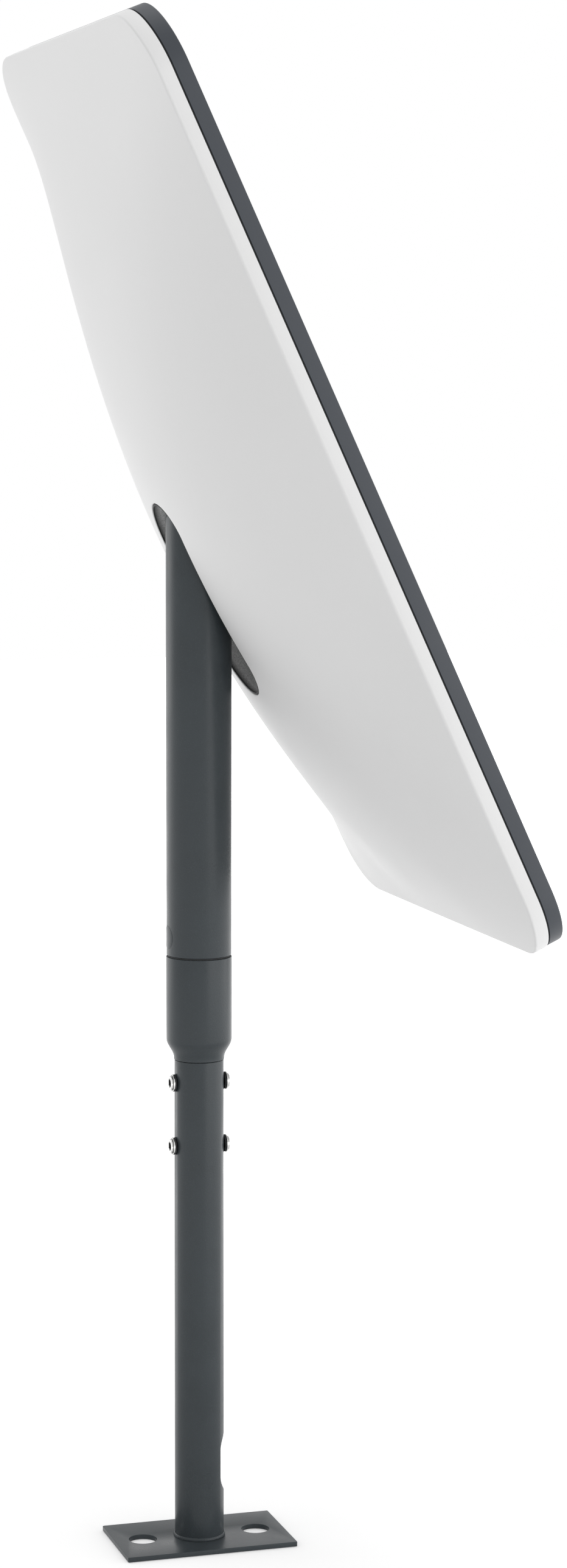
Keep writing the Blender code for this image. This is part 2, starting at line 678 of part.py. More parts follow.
def bearing(name, bottom):
    """A ball bearing as one ring, with the groove between its races."""
    top = bottom + BEARING_HEIGHT
    middle = (bearing_bore + inner_fit) / 2
    groove = BEARING_GROOVE_WIDTH / 2
    profile = [
        (inner_fit, top), (inner_fit, bottom),
        (middle + groove, bottom), (middle + groove, bottom + BEARING_GROOVE),
        (middle - groove, bottom + BEARING_GROOVE), (middle - groove, bottom),
        (bearing_bore, bottom), (bearing_bore, top),
        (middle - groove, top), (middle - groove, top - BEARING_GROOVE),
        (middle + groove, top - BEARING_GROOVE), (middle + groove, top),
    ]
    turned(name, MOUNT, BEARING_STEEL, profile)


def azimuth_bearings():
    bearing("azimuth_bearing_lower", lower_bearing)
    bearing("azimuth_bearing_upper", upper_bearing)
    turned("bearing_spacer", MOUNT, CAST_METAL,
           tube_profile(bearing_bore + SPACER_WALL, bearing_bore,
                        lower_bearing + BEARING_HEIGHT + FIT_GAP, upper_bearing - FIT_GAP))
    retainer = upper_bearing + BEARING_HEIGHT + FIT_GAP - mast_bottom
    turned("bearing_retainer", MAST, CAST_METAL,
           tube_profile(inner_fit, inner_fit - RETAINER_WALL, retainer, retainer + RETAINER_HEIGHT))
    outer = MAST_RADIUS - SEAL_GAP
    turned("seam_seal", MOUNT, BLACK_RUBBER,
           tube_profile(outer, outer - SEAL_WIDTH, collar_top + SEAL_GAP, mast_bottom - SEAL_GAP))


def azimuth_drive():
    """Ring gear on the collar's journal, and the motor with its pinion in the mast."""
    flat("azimuth_ring_gear", MOUNT, GEAR_PLASTIC,
         [circle(JOURNAL_RADIUS, TUBE_STEPS), ring_gear_hole(AZIMUTH_RING_TEETH, AZIMUTH_MODULE)],
         ring_gear_bottom, AZIMUTH_GEAR_HEIGHT)
    plate = motor_plate_bottom - mast_bottom
    flat("azimuth_motor_plate", MAST, CAST_METAL,
         [circle(inner_fit, TUBE_STEPS),
          circle(DRIVE_SHAFT_RADIUS + HOLE_CLEARANCE, SMALL_STEPS, (azimuth_offset, 0.0)),
          circle(LEAD_RADIUS + HOLE_CLEARANCE, SMALL_STEPS, (LEAD_IN_MOTOR_PLATE, 0.0))],
         plate, MOTOR_PLATE_HEIGHT)
    gearmotor("azimuth_gearmotor", MAST, (azimuth_offset, 0.0, motor_bottom - mast_bottom))
    pinion("azimuth_pinion", MAST, AZIMUTH_PINION_TEETH, AZIMUTH_MODULE, 0.0,
           (azimuth_offset, 0.0, ring_gear_bottom + FIT_GAP - mast_bottom),
           AZIMUTH_GEAR_HEIGHT - 2 * FIT_GAP, motor_bottom - FIT_GAP - ring_gear_bottom - FIT_GAP)


def gearmotor(name, parent, at):
    top = GEARBOX_LENGTH + MOTOR_LENGTH
    thin = MOTOR_RADIUS - MOTOR_STEP
    profile = [(0.0, top), (thin, top), (thin, GEARBOX_LENGTH), (MOTOR_RADIUS, GEARBOX_LENGTH),
               (MOTOR_RADIUS, 0.0), (0.0, 0.0)]
    turned(name, parent, CAST_METAL, profile, SHAFT_STEPS, at)


def pinion(name, parent, teeth, module, phase, at, width, shaft_end):
    """A pinion rising from its place, and the shaft that carries it."""
    gear = flat(name, parent, BRASS, [gear_outline(teeth, module, phase)], at[2], width, at=at[:2])
    shaft = turned(name + "_shaft_cutter", parent, None,
                   rod_profile(DRIVE_SHAFT_RADIUS, width / 2, shaft_end), SMALL_STEPS, at)
    boolean(gear, shaft, "UNION")


def mast_tube():
    inwards, down = MAST_TOP_TAPER
    wall = [(MAST_RADIUS - inwards, mast_length), (MAST_RADIUS, mast_length - down), (MAST_RADIUS, 0.0),
            (mast_bore, 0.0), (mast_bore, mast_length)]
    tube = turned("mast_tube", MAST, DARK_COAT, wall)
    boolean(tube, cross_bore("mast_cross_bore_cutter"), "DIFFERENCE")
    reach = MAST_RADIUS + MAST_WALL
    hole = turned("head_screw_hole_cutter", MAST_TILT, None,
                  rod_profile(HEAD_SCREW_RADIUS + HOLE_CLEARANCE, 0.0, reach), SMALL_STEPS,
                  at=(0.0, -HEAD_SCREW_DROP, 0.0), turn=(0.0, QUARTER, 0.0))
    boolean(tube, hole, "DIFFERENCE")


def cross_bore(name):
    """A cutter for the tilt shaft, across the mast."""
    reach = MAST_RADIUS + MAST_WALL
    return turned(name, MAST_TILT, None, rod_profile(SHAFT_RADIUS + FIT_GAP, -reach, reach), SHAFT_STEPS)


def mast_head():
    """The plug in the top of the mast, bored for the tilt shaft and for the lead."""
    top = mast_length - FIT_GAP
    head = turned("mast_head", MAST, CAST_METAL, rod_profile(inner_fit, top - HEAD_LENGTH, top))
    boolean(head, cross_bore("head_cross_bore_cutter"), "DIFFERENCE")
    channel = turned("head_channel_cutter", MAST, None,
                     rod_profile(HEAD_CHANNEL_RADIUS, top - 2 * HEAD_LENGTH, top + HEAD_LENGTH),
                     SMALL_STEPS, at=(HEAD_CHANNEL_OFFSET, 0.0, 0.0))
    boolean(head, channel, "DIFFERENCE")
    thread = rod_profile(HEAD_SCREW_SHANK + HOLE_CLEARANCE, inner_fit - HEAD_SCREW_LENGTH, MAST_RADIUS)
    shank = turned("head_thread_cutter", MAST_TILT, None, thread, SMALL_STEPS,
                   at=(0.0, -HEAD_SCREW_DROP, 0.0), turn=(0.0, QUARTER, 0.0))
    boolean(head, shank, "DIFFERENCE")
    seat = inner_fit + FIT_GAP
    crown = MAST_RADIUS - FIT_GAP
    tip = inner_fit - HEAD_SCREW_LENGTH + FIT_GAP
    profile = [(0.0, crown), (HEAD_SCREW_RADIUS, crown), (HEAD_SCREW_RADIUS, seat),
               (HEAD_SCREW_SHANK, seat), (HEAD_SCREW_SHANK, tip), (0.0, tip)]
    turned("head_screw", MAST_TILT, BRIGHT_STEEL, profile, SMALL_STEPS,
           at=(0.0, -HEAD_SCREW_DROP, 0.0), turn=(0.0, QUARTER, 0.0))


def mast_lead():
    """The lead from the plug in the collar up to the head, and its plug."""
    plug_bottom = socket_top + FIT_GAP - mast_bottom
    plug_top = plug_bottom + LEAD_PLUG_HEIGHT
    turned("lead_plug", MAST, LEAD_BLACK, rod_profile(LEAD_PLUG_RADIUS, plug_bottom, plug_top), SHAFT_STEPS)
    stations = (
        (0.0, plug_top + FIT_GAP),
        (0.0, plug_top + LEAD_STRAIGHT),
        (LEAD_IN_JOURNAL, journal_top - mast_bottom - LEAD_BEND_DROP),
        (LEAD_IN_JOURNAL, ring_gear_bottom + AZIMUTH_GEAR_HEIGHT - mast_bottom),
        (LEAD_IN_MOTOR_PLATE, motor_plate_bottom - mast_bottom),
        (LEAD_IN_MOTOR_PLATE, motor_plate_bottom + MOTOR_PLATE_HEIGHT - mast_bottom),
        (HEAD_CHANNEL_OFFSET, mast_length - HEAD_LENGTH - LEAD_STRAIGHT),
        (HEAD_CHANNEL_OFFSET, mast_length - 3 * FIT_GAP),
    )
    curve = bpy.data.curves.new("mast_lead", "CURVE")
    curve.dimensions = "3D"
    curve.bevel_depth = LEAD_RADIUS
    curve.bevel_resolution = 1
    curve.use_fill_caps = True
    points = []
    for (x0, z0), (x1, z1) in zip(stations, stations[1:]):
        steps = 1 if x0 == x1 else LEAD_BEND_STEPS
        shares = [i / steps for i in range(steps)]
        points += [(x0 + (x1 - x0) * s * s * (3 - 2 * s), z0 + (z1 - z0) * s) for s in shares]
    points.append(stations[-1])
    spline = curve.splines.new("POLY")
    spline.points.add(len(points) - 1)
    for point, (x, z) in zip(spline.points, points):
        point.co = (x, 0.0, z, 1.0)
    add_mesh("mast_lead", mesh_of_curve(curve), MAST, LEAD_BLACK)


def tilt_shaft():
    """The shaft fixed in the head, its clip, and the toothed sector on its end."""
    clip_at = block_outer + BUSH_FLANGE + 2 * FIT_GAP
    near_end = clip_at + CLIP_HEIGHT + 4 * FIT_GAP
    shaft = rod_profile(SHAFT_RADIUS, -near_end, sector_outer + FIT_GAP)
    turned("tilt_shaft", MAST_TILT, BRIGHT_STEEL, shaft, SHAFT_STEPS)
    clip = tube_profile(CLIP_RADIUS, SHAFT_RADIUS + FIT_GAP, -clip_at - CLIP_HEIGHT, -clip_at)
    turned("shaft_clip", MAST_TILT, BEARING_STEEL, clip, SHAFT_STEPS)
    pitch = 2 * math.pi / TILT_SECTOR_TEETH
    points = []
    for i in range(-TILT_TEETH_BELOW, TILT_TEETH_ABOVE + 1):
        points += tooth_points(REST_ELEVATION + i * pitch, tilt_sector_radius, TILT_MODULE, TOOTH_SHARE)
    start = REST_ELEVATION - (TILT_TEETH_BELOW + 0.5) * pitch
    end = REST_ELEVATION + (TILT_TEETH_ABOVE + 0.5) * pitch
    root = tilt_sector_radius - DEDENDUM * TILT_MODULE
    outline = [(root * math.cos(start), root * math.sin(start)), *points,
               (root * math.cos(end), root * math.sin(end)),
               *arc(SECTOR_HUB_RADIUS, end, start + 2 * math.pi, SMALL_STEPS)]
    flat("tilt_sector", MAST_TILT, CAST_METAL, [outline, circle(SHAFT_RADIUS + FIT_GAP, SHAFT_STEPS)],
         sector_inner, TILT_GEAR_WIDTH)


def back_shell():
    """The domed back with its side wall, its slot, and the screw bosses inside."""
    outer = [back_ring(share, EDGE_ROUND, 0.0) for share in SLOT_RINGS]
    edge = [
        back_ring(1.0, EDGE_ROUND, 0.0),
        level_ring(panel_outline(edge_middle), edge_middle),
        level_ring(panel_outline(0.0), EDGE_ROUND),
        level_ring(panel_outline(0.0), SIDE_HEIGHT),
        level_ring(panel_outline(SHELL_WALL), SIDE_HEIGHT),
        back_ring(1.0, SHELL_WALL + EDGE_ROUND, SHELL_WALL),
    ]
    inner = [back_ring(share, SHELL_WALL + EDGE_ROUND, SHELL_WALL) for share in reversed(SLOT_RINGS)]
    shell = loft("back_shell", PANEL, WHITE_SHELL, outer + edge + inner, looped=True)
    bore = PANEL_SCREW_SHANK + HOLE_CLEARANCE
    floor = BOSS_BOTTOM + BOSS_FLOOR
    profile = [(0.0, floor), (bore, floor), (bore, boss_top), (BOSS_RADIUS, boss_top),
               (BOSS_RADIUS, BOSS_BOTTOM), (0.0, BOSS_BOTTOM)]
    for i, (x, y) in enumerate(panel_screw_places(), 1):
        boss = turned(f"boss_{i}_cutter", PANEL, None, profile, SMALL_STEPS, (x, y, 0.0), HALF_STEP_TURN)
        boolean(shell, boss, "UNION")


def slot_liner():
    """The grey well that closes the panel round the head of the mast, with its rim in the slot."""
    def under_dome(grow, depth):
        return [(x, y, depth - hump(x, y)) for x, y in slot_outline(grow)]

    outer = -FIT_GAP
    inner = outer - WELL_WALL
    flange_top = SHELL_WALL + FIT_GAP
    flange_bottom = flange_top + WELL_WALL
    rings = [
        level_ring(slot_outline(inner), -WELL_FLOOR - WELL_WALL),
        under_dome(inner, WELL_RIM_RECESS),
        under_dome(outer, WELL_RIM_RECESS),
        under_dome(outer, flange_top),
        under_dome(WELL_FLANGE, flange_top),
        under_dome(WELL_FLANGE, flange_bottom),
        under_dome(outer, flange_bottom),
        level_ring(slot_outline(outer), -WELL_FLOOR),
    ]
    liner = loft("slot_liner", PANEL, GREY_LINER, rings, looped=False)
    reach = SLOT_WIDTH
    bore = turned("liner_bore_cutter", PANEL_TILT, None,
                  rod_profile(SHAFT_RADIUS + 2 * FIT_GAP, -reach, reach), SHAFT_STEPS)
    boolean(liner, bore, "DIFFERENCE")


def perimeter_gasket():
    outer = GASKET_INSET
    flat("perimeter_gasket", PANEL, BLACK_RUBBER,
         [panel_outline(outer), panel_outline(outer + GASKET_WIDTH)],
         SIDE_HEIGHT + SEAL_GAP, PANEL_SEAM - 2 * SEAL_GAP)


def bezel():
    """The dark front rim, with the ledge that the front cover lies on."""
    rings = [
        level_ring(panel_outline(LEDGE_WIDTH), bezel_bottom),
        level_ring(panel_outline(0.0), bezel_bottom),
        level_ring(panel_outline(0.0), panel_front - BEZEL_EDGE),
        level_ring(panel_outline(BEZEL_EDGE), panel_front),
        level_ring(panel_outline(BEZEL_WALL), panel_front),
        level_ring(panel_outline(BEZEL_WALL), ledge_top),
        level_ring(panel_outline(LEDGE_WIDTH), ledge_top),
    ]
    rim = loft("bezel", PANEL, DARK_RIM, rings, looped=True)
    bore = PANEL_SCREW_SHANK + HOLE_CLEARANCE
    recess = PANEL_SCREW_HEAD + HOLE_CLEARANCE
    seat = ledge_top - PANEL_SCREW_HEAD_HEIGHT - 2 * FIT_GAP
    profile = [(0.0, panel_front), (recess, panel_front), (recess, seat),
               (bore, seat), (bore, 0.0), (0.0, 0.0)]
    for i, (x, y) in enumerate(panel_screw_places(), 1):
        name = f"bezel_hole_{i}_cutter"
        hole = turned(name, PANEL, None, profile, SMALL_STEPS, (x, y, 0.0), HALF_STEP_TURN)
        boolean(rim, hole, "DIFFERENCE")


def front_stack():
    """Front cover, foam core, antenna board and chassis plate, front to back."""
    cover = panel_outline(BEZEL_WALL + FIT_GAP)
    flat("front_radome", PANEL, WHITE_SHELL, [cover], radome_back, RADOME_THICKNESS)
    core = panel_outline(core_inset)
    core_back = board_front + FIT_GAP
    flat("foam_core", PANEL, CORE_FOAM, [core], core_back, radome_back - FIT_GAP - core_back)
    flat("antenna_board", PANEL, BOARD_GREEN, [core], board_back, BOARD_THICKNESS)
    holes = [circle(PANEL_SCREW_SHANK + HOLE_CLEARANCE, SMALL_STEPS, at) for at in panel_screw_places()]
    flat("chassis_plate", PANEL, CAST_METAL, [panel_outline(CHASSIS_INSET), *holes],
         chassis_back, CHASSIS_THICKNESS)


def control_board():
    width, height = CONTROL_BOARD_SIZE
    back = chassis_back - FIT_GAP - BOARD_THICKNESS
    flat("control_board", PANEL, BOARD_GREEN, [rounded_rectangle(width, height, CONTROL_BOARD_CORNER, 2)],
         back, BOARD_THICKNESS, at=(0.0, CONTROL_BOARD_CENTRE))
    flat("shield_can", PANEL, BRIGHT_STEEL, [rounded_rectangle(*SHIELD_SIZE, SHIELD_CORNER, 2)],
         back - FIT_GAP - SHIELD_HEIGHT, SHIELD_HEIGHT, at=(0.0, CONTROL_BOARD_CENTRE))


def panel_screws():
    seat = ledge_top - PANEL_SCREW_HEAD_HEIGHT - FIT_GAP
    tip = boss_top - PANEL_SCREW_ENGAGED + 2 * FIT_GAP
    profile = [(0.0, seat + PANEL_SCREW_HEAD_HEIGHT), (PANEL_SCREW_HEAD, seat + PANEL_SCREW_HEAD_HEIGHT),
               (PANEL_SCREW_HEAD, seat), (PANEL_SCREW_SHANK, seat), (PANEL_SCREW_SHANK, tip), (0.0, tip)]
    for i, (x, y) in enumerate(panel_screw_places(), 1):
        turned(f"panel_screw_{i}", PANEL, BRIGHT_STEEL, profile, SMALL_STEPS, at=(x, y, 0.0))


def tilt_bearings():
    """A block on the chassis plate and a flanged bush on each side of the mast."""
    foot = chassis_distance - FIT_GAP
    bush_outer = SHAFT_RADIUS + FIT_GAP + BUSH_WALL
    corner = math.hypot(foot, BLOCK_FOOT / 2)
    tangent = math.atan2(BLOCK_FOOT / 2, foot) + math.acos(BLOCK_ROUND / corner)
    round_top = arc(BLOCK_ROUND, tangent, 4 * QUARTER - tangent, SMALL_STEPS)
    outline = [(foot, -BLOCK_FOOT / 2), (foot, BLOCK_FOOT / 2), *round_top]
    bore = circle(bush_outer + FIT_GAP, SHAFT_STEPS)
    for side, name in ((1, "left"), (-1, "right")):
        bottom = BLOCK_INNER if side > 0 else -block_outer
        flat(f"bearing_block_{name}", PANEL_TILT, CAST_METAL, [outline, bore], bottom, BLOCK_THICKNESS)
        flange = side * (block_outer + FIT_GAP)
        collar = bush_outer + BUSH_WALL
        ends = [(bush_outer, side * (BLOCK_INNER + FIT_GAP)), (bush_outer, flange),
                (collar, flange), (collar, flange + side * BUSH_FLANGE),
                (SHAFT_RADIUS + FIT_GAP, flange + side * BUSH_FLANGE),
                (SHAFT_RADIUS + FIT_GAP, side * (BLOCK_INNER + FIT_GAP))]
        profile = ends if side < 0 else list(reversed(ends))
        turned(f"tilt_bush_{name}", PANEL_TILT, BRASS, profile, SHAFT_STEPS)


def tilt_drive():
    """Bracket, motor and pinion that walk the panel round the toothed sector."""
    half = BRACKET_WIDTH / 2
    foot = chassis_distance - FIT_GAP
    back = tilt_offset - MOTOR_RADIUS
    shaft_hole = circle(DRIVE_SHAFT_RADIUS + HOLE_CLEARANCE, SMALL_STEPS, (tilt_offset, 0.0))
    web = [(foot, -half), (foot, half), (back, half), (back, -half)]
    bracket = flat("tilt_motor_bracket", PANEL_TILT, CAST_METAL, [web, shaft_hole],
                   bracket_inner, BRACKET_THICKNESS)
    sole_top = foot - BRACKET_SOLE
    sole = [(foot, -half), (foot, half), (sole_top, half), (sole_top, -half)]
    flange = flat("bracket_foot_cutter", PANEL_TILT, None, [sole], bracket_inner, BRACKET_FOOT)
    boolean(bracket, flange, "UNION")
    gearmotor("tilt_gearmotor", PANEL_TILT, (tilt_offset, 0.0, bracket_outer + FIT_GAP))
    space = 2 * math.pi / TILT_PINION_TEETH
    pinion("tilt_pinion", PANEL_TILT, TILT_PINION_TEETH, TILT_MODULE, math.pi + space / 2,
           (tilt_offset, 0.0, sector_inner), TILT_GEAR_WIDTH, bracket_outer - sector_inner)


def main():
    base_plate()
    weld_bead()
    pole_tube()
    mast_collar()
    clamp_fasteners()
    cable_socket()
    azimuth_bearings()
    azimuth_drive()
    mast_tube()
    mast_head()
    mast_lead()
    tilt_shaft()
    back_shell()
    slot_liner()
    perimeter_gasket()
    bezel()
    front_stack()
    control_board()
    panel_screws()
    tilt_bearings()
    tilt_drive()


main()
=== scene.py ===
import json
import math

import bmesh
import bpy
from mathutils import Euler, Matrix, Vector


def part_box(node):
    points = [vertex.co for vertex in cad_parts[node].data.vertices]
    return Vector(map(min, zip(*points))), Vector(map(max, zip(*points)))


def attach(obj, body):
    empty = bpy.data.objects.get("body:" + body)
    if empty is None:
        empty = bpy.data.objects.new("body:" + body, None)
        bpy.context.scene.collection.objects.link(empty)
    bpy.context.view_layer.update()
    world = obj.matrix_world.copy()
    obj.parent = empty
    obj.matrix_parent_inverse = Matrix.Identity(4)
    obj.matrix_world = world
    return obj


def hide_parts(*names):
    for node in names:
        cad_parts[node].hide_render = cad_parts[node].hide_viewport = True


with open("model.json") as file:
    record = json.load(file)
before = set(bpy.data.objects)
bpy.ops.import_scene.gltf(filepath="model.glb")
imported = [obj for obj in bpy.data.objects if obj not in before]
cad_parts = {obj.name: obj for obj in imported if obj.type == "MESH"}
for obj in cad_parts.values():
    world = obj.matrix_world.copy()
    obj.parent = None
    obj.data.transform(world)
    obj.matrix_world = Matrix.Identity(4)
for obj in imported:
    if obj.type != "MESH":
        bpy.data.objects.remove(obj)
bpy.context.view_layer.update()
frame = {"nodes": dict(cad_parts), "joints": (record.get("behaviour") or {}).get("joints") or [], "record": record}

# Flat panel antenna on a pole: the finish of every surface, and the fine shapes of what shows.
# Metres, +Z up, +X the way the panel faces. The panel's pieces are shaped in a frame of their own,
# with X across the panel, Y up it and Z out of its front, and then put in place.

MM = 0.001
QUARTER = math.radians(90.0)

# ---------------------------------------------------------------- sizes

# Read from the frame
plate_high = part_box("base_plate")[1]
pole_low, pole_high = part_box("pole_tube")
collar_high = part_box("mast_collar")[1]
mast_low, mast_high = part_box("mast_tube")
JOINT = {joint["name"]: joint for joint in frame["joints"]}
pivot = Vector(JOINT["tilt"]["pos_m"])
pole_radius = pole_high.x
collar_radius = collar_high.x
mast_radius = mast_high.x

# Fits and edges
GAP = 0.3 * MM
SEAL_EDGE = 0.1 * MM
TUBE_EDGE = 0.15 * MM
HOLE_EDGE = 0.2 * MM
FINE_EDGE = 0.25 * MM
COVER_EDGE = 0.5 * MM
SOFT_EDGE = 0.6 * MM

# Foot
PLATE_CORNER = 0.8 * MM
PLATE_HOLE_RADIUS = 7.6 * MM
PLATE_HOLE_SPACING = 63.2 * MM
WELD_PROUD = 0.65 * MM
WELD_HEIGHT = 1.6 * MM
WELD_RIPPLES = 58
WELD_RIPPLE_HEIGHT = 0.025 * MM
WELD_RIPPLE_LEAN = 400.0  # turn of the ripples' wave, in radians for each metre up the bead

# Pole
POLE_WALL = 1.6 * MM
CABLE_HOLE_WIDTH = 18.8 * MM
CABLE_HOLE_HEIGHT = 33.6 * MM
CABLE_HOLE_CENTRE = 40.9 * MM

# Collar
COLLAR_NECK_RADIUS = 13.5 * MM
COLLAR_NECK_HEIGHT = 0.8 * MM
COLLAR_SHOULDER_HEIGHT = 10.4 * MM
COLLAR_BORE = 9.0 * MM
SPIGOT_LENGTH = 58.0 * MM
JOURNAL_RADIUS = 11.5 * MM
JOURNAL_HEIGHT = 32.5 * MM

# Clamp screws
CLAMP_DROPS = (12.3 * MM, 46.5 * MM)
CLAMP_SHANK_RADIUS = 2.5 * MM
CLAMP_HEAD_RADIUS = 4.8 * MM
CLAMP_HEAD_HEIGHT = 2.0 * MM
CLAMP_FLANGE_HEIGHT = 0.85 * MM
CLAMP_CROWN_RADIUS = 3.9 * MM
CROWN_ROUND = 0.5 * MM
CROWN_CORNER = CROWN_ROUND * 0.3  # how far its middle lies inside the sharp corner
CLAMP_CROWN_GROOVE = 0.1 * MM
CLAMP_EDGE = 0.15 * MM
CLAMP_FLANGE_DROP = 0.05 * MM  # from the crown's foot out to the flange's edge
CLAMP_KEY_RADIUS = 2.3 * MM  # of the hexagonal socket, to its corners
CLAMP_KEY_DEPTH = 1.5 * MM
KEY_CHAMFER = 0.25 * MM
KEY_POINT_SHARE = 0.2  # of the socket's radius, at the foot of the drill point
CLAMP_WASHER_RADIUS = 4.6 * MM
CLAMP_WASHER_HEIGHT = 0.5 * MM
CLAMP_NUT_RADIUS = 3.4 * MM

# Mast
MAST_WALL = 2.0 * MM
MAST_TOP_TAPER = (1.4 * MM, 4.0 * MM)
SHAFT_RADIUS = 5.0 * MM
HEAD_SCREW_DROP = 14.0 * MM
HEAD_SCREW_RADIUS = 2.5 * MM
PLUG_RADIUS = 6.4 * MM
PLUG_HEIGHT = 9.6 * MM  # above the bottom of the mast
PLUG_PROUD = 0.12 * MM
PLUG_SUNK = 0.25 * MM
PLUG_RINGS = (  # share of its radius, and height out of the mast
    (1.0, -PLUG_SUNK),
    (1.0, PLUG_PROUD * 0.4),
    (0.96, PLUG_PROUD),
    (0.55, PLUG_PROUD),
    (0.1, PLUG_PROUD),
)
SEAL_WIDTH = 1.4 * MM
SEAL_GAP = 0.25 * MM

# Panel
PANEL_LENGTH = 513.0 * MM
PANEL_WIDTH = 302.7 * MM
PANEL_CORNER = 33.0 * MM
REST_ELEVATION = math.radians(25.0)
DOME_HEIGHT = 54.4 * MM
DOME_SHIFT = -2.7 * MM
PIVOT_DEPTH = 36.8 * MM
PIVOT_OFFSET = 1.0 * MM
SHELL_WALL = 2.5 * MM
SIDE_HEIGHT = 7.35 * MM
EDGE_ROUND = 1.2 * MM
LIP_ROUND = 0.8 * MM
SHELL_LIP = 0.4 * MM
PANEL_SEAM = 0.9 * MM
GASKET_INSET = 0.9 * MM
GASKET_WIDTH = 1.4 * MM
BEZEL_HEIGHT = 7.85 * MM
BEZEL_WALL = 3.0 * MM
BEZEL_EDGE = 0.8 * MM
BEZEL_INSET = 0.35 * MM
LEDGE_WIDTH = 8.6 * MM
COVER_THICKNESS = 2.3 * MM
COVER_RECESS = 0.2 * MM

# Slot and well
SLOT_LENGTH = 115.4 * MM
SLOT_WIDTH = 41.0 * MM
SLOT_CENTRE = -38.7 * MM
WELL_WALL = 1.2 * MM
WELL_RIM_RECESS = 0.3 * MM
WELL_FLANGE = 2.0 * MM
WELL_FLOOR = 15.0 * MM
WELL_RIM_TURNS = (0.0, 0.5, 1.0, QUARTER, 2.1, 2.6, 2 * QUARTER)  # of the points round its rim

# Roundness
ROUND_STEPS = 128
HOLE_STEPS = 96
PLUG_STEPS = 72
SMALL_STEPS = 48
SHOULDER_STEPS = 24
CORNER_STEPS = 20
WELL_STEPS = 12
WELD_STEPS = 10
EDGE_STEPS = 8
LIP_STEPS = 6
SHELL_LIP_STEPS = 4
SIDE_POINTS = (64, 34)
DOME_RINGS = 56
SMOOTH_ANGLE = math.radians(32.0)
SHELL_SMOOTH_ANGLE = math.radians(45.0)
WELD_SMOOTH_ANGLE = math.radians(60.0)
BEVEL_ANGLE = math.radians(50.0)
MERGE_REACH = 0.002 * MM

plate_top = plate_high.z
neck_bottom = pole_high.z + GAP
shoulder_top = neck_bottom + COLLAR_NECK_HEIGHT + COLLAR_SHOULDER_HEIGHT
journal_top = collar_high.z
collar_top = journal_top - JOURNAL_HEIGHT
rim_back = SIDE_HEIGHT + PANEL_SEAM
panel_front = rim_back + BEZEL_HEIGHT
cover_back = panel_front - COVER_RECESS - COVER_THICKNESS
PANEL_PLACE = (
    Matrix.Translation(pivot)
    @ Matrix.Rotation(-REST_ELEVATION, 4, "Y")
    @ Matrix.Translation((PIVOT_DEPTH, 0.0, PIVOT_OFFSET))
    @ Euler((QUARTER, 0.0, QUARTER)).to_matrix().to_4x4()
)

# ---------------------------------------------------------------- finishes


def put_in(tree, value, socket):
    """Gives a socket its number, or links it to another node's output."""
    if isinstance(value, bpy.types.NodeSocket):
        tree.links.new(value, socket)
    else:
        socket.default_value = value


def add_node(tree, kind, values=None, **settings):
    """A new node with its settings and its inputs."""
    made = tree.nodes.new(kind)
    for key, value in settings.items():
        setattr(made, key, value)
    for key, value in (values or {}).items():
        put_in(tree, value, made.inputs[key])
    return made


class Finish:
    """A material whose colour, roughness and relief come from nodes on the piece's own coordinates."""

    def __init__(self, name, roughness, metallic=0.0, specular=0.5):
        self.material = bpy.data.materials.new(name)
        self.material.use_nodes = True
        self.tree = self.material.node_tree
        self.shader = self.tree.nodes["Principled BSDF"]
        self.shader.inputs["Roughness"].default_value = roughness
        self.shader.inputs["Metallic"].default_value = metallic
        self.shader.inputs["Specular IOR Level"].default_value = specular
        self.place = self.node("ShaderNodeTexCoord").outputs["Object"]

    def node(self, kind, values=None, **settings):
        return add_node(self.tree, kind, values, **settings)

    def turned(self, turn=(0.0, 0.0, 0.0), stretch=(1.0, 1.0, 1.0)):
        mapping = self.node("ShaderNodeMapping", {"Vector": self.place, "Rotation": turn, "Scale": stretch})
        return mapping.outputs["Vector"]

    def noise(self, size, detail=2.0, roughness=0.5, place=None):
        """Noise whose patches are about this size, in metres."""
        made = self.node("ShaderNodeTexNoise", {
            "Vector": place or self.place, "Scale": 1.0 / size, "Detail": detail, "Roughness": roughness})
        return made.outputs["Fac"]

    def cells(self, size, place=None, feature="F1"):
        made = self.node("ShaderNodeTexVoronoi", {"Vector": place or self.place, "Scale": 1.0 / size},
                         feature=feature)
        return made.outputs["Distance"]

    def between(self, fac, low, high, start=0.0, end=1.0):
        """The number from low to high as fac goes from start to end."""
        made = self.node("ShaderNodeMapRange", {
            "Value": fac, "From Min": start, "From Max": end, "To Min": low, "To Max": high})
        return made.outputs["Result"]

    def blend(self, fac, first, second):
        """The first colour where fac is 0, and the second where it is 1."""
        made = self.node("ShaderNodeMix", data_type="RGBA")
        for key, value in (("Factor", fac), ("A", first), ("B", second)):
            socket = next(s for s in made.inputs if s.name == key and s.enabled)
            put_in(self.tree, (*value, 1.0) if isinstance(value, tuple) else value, socket)
        return next(s for s in made.outputs if s.enabled)

    def maths(self, operation, first, second=0.0):
        return self.node("ShaderNodeMath", {0: first, 1: second}, operation=operation).outputs[0]

    def colour(self, socket):
        put_in(self.tree, socket, self.shader.inputs["Base Color"])

    def rough(self, socket):
        put_in(self.tree, socket, self.shader.inputs["Roughness"])

    def relief(self, *layers):
        """Bumps laid over each other, each a height socket and its depth in metres."""
        normal = None
        for height, depth in layers:
            values = {"Height": height, "Strength": 1.0, "Distance": depth}
            if normal is not None:
                values["Normal"] = normal
            normal = self.node("ShaderNodeBump", values).outputs["Normal"]
        put_in(self.tree, normal, self.shader.inputs["Normal"])


def shade_of(colour, share):
    return tuple(min(1.0, channel * share) for channel in colour)


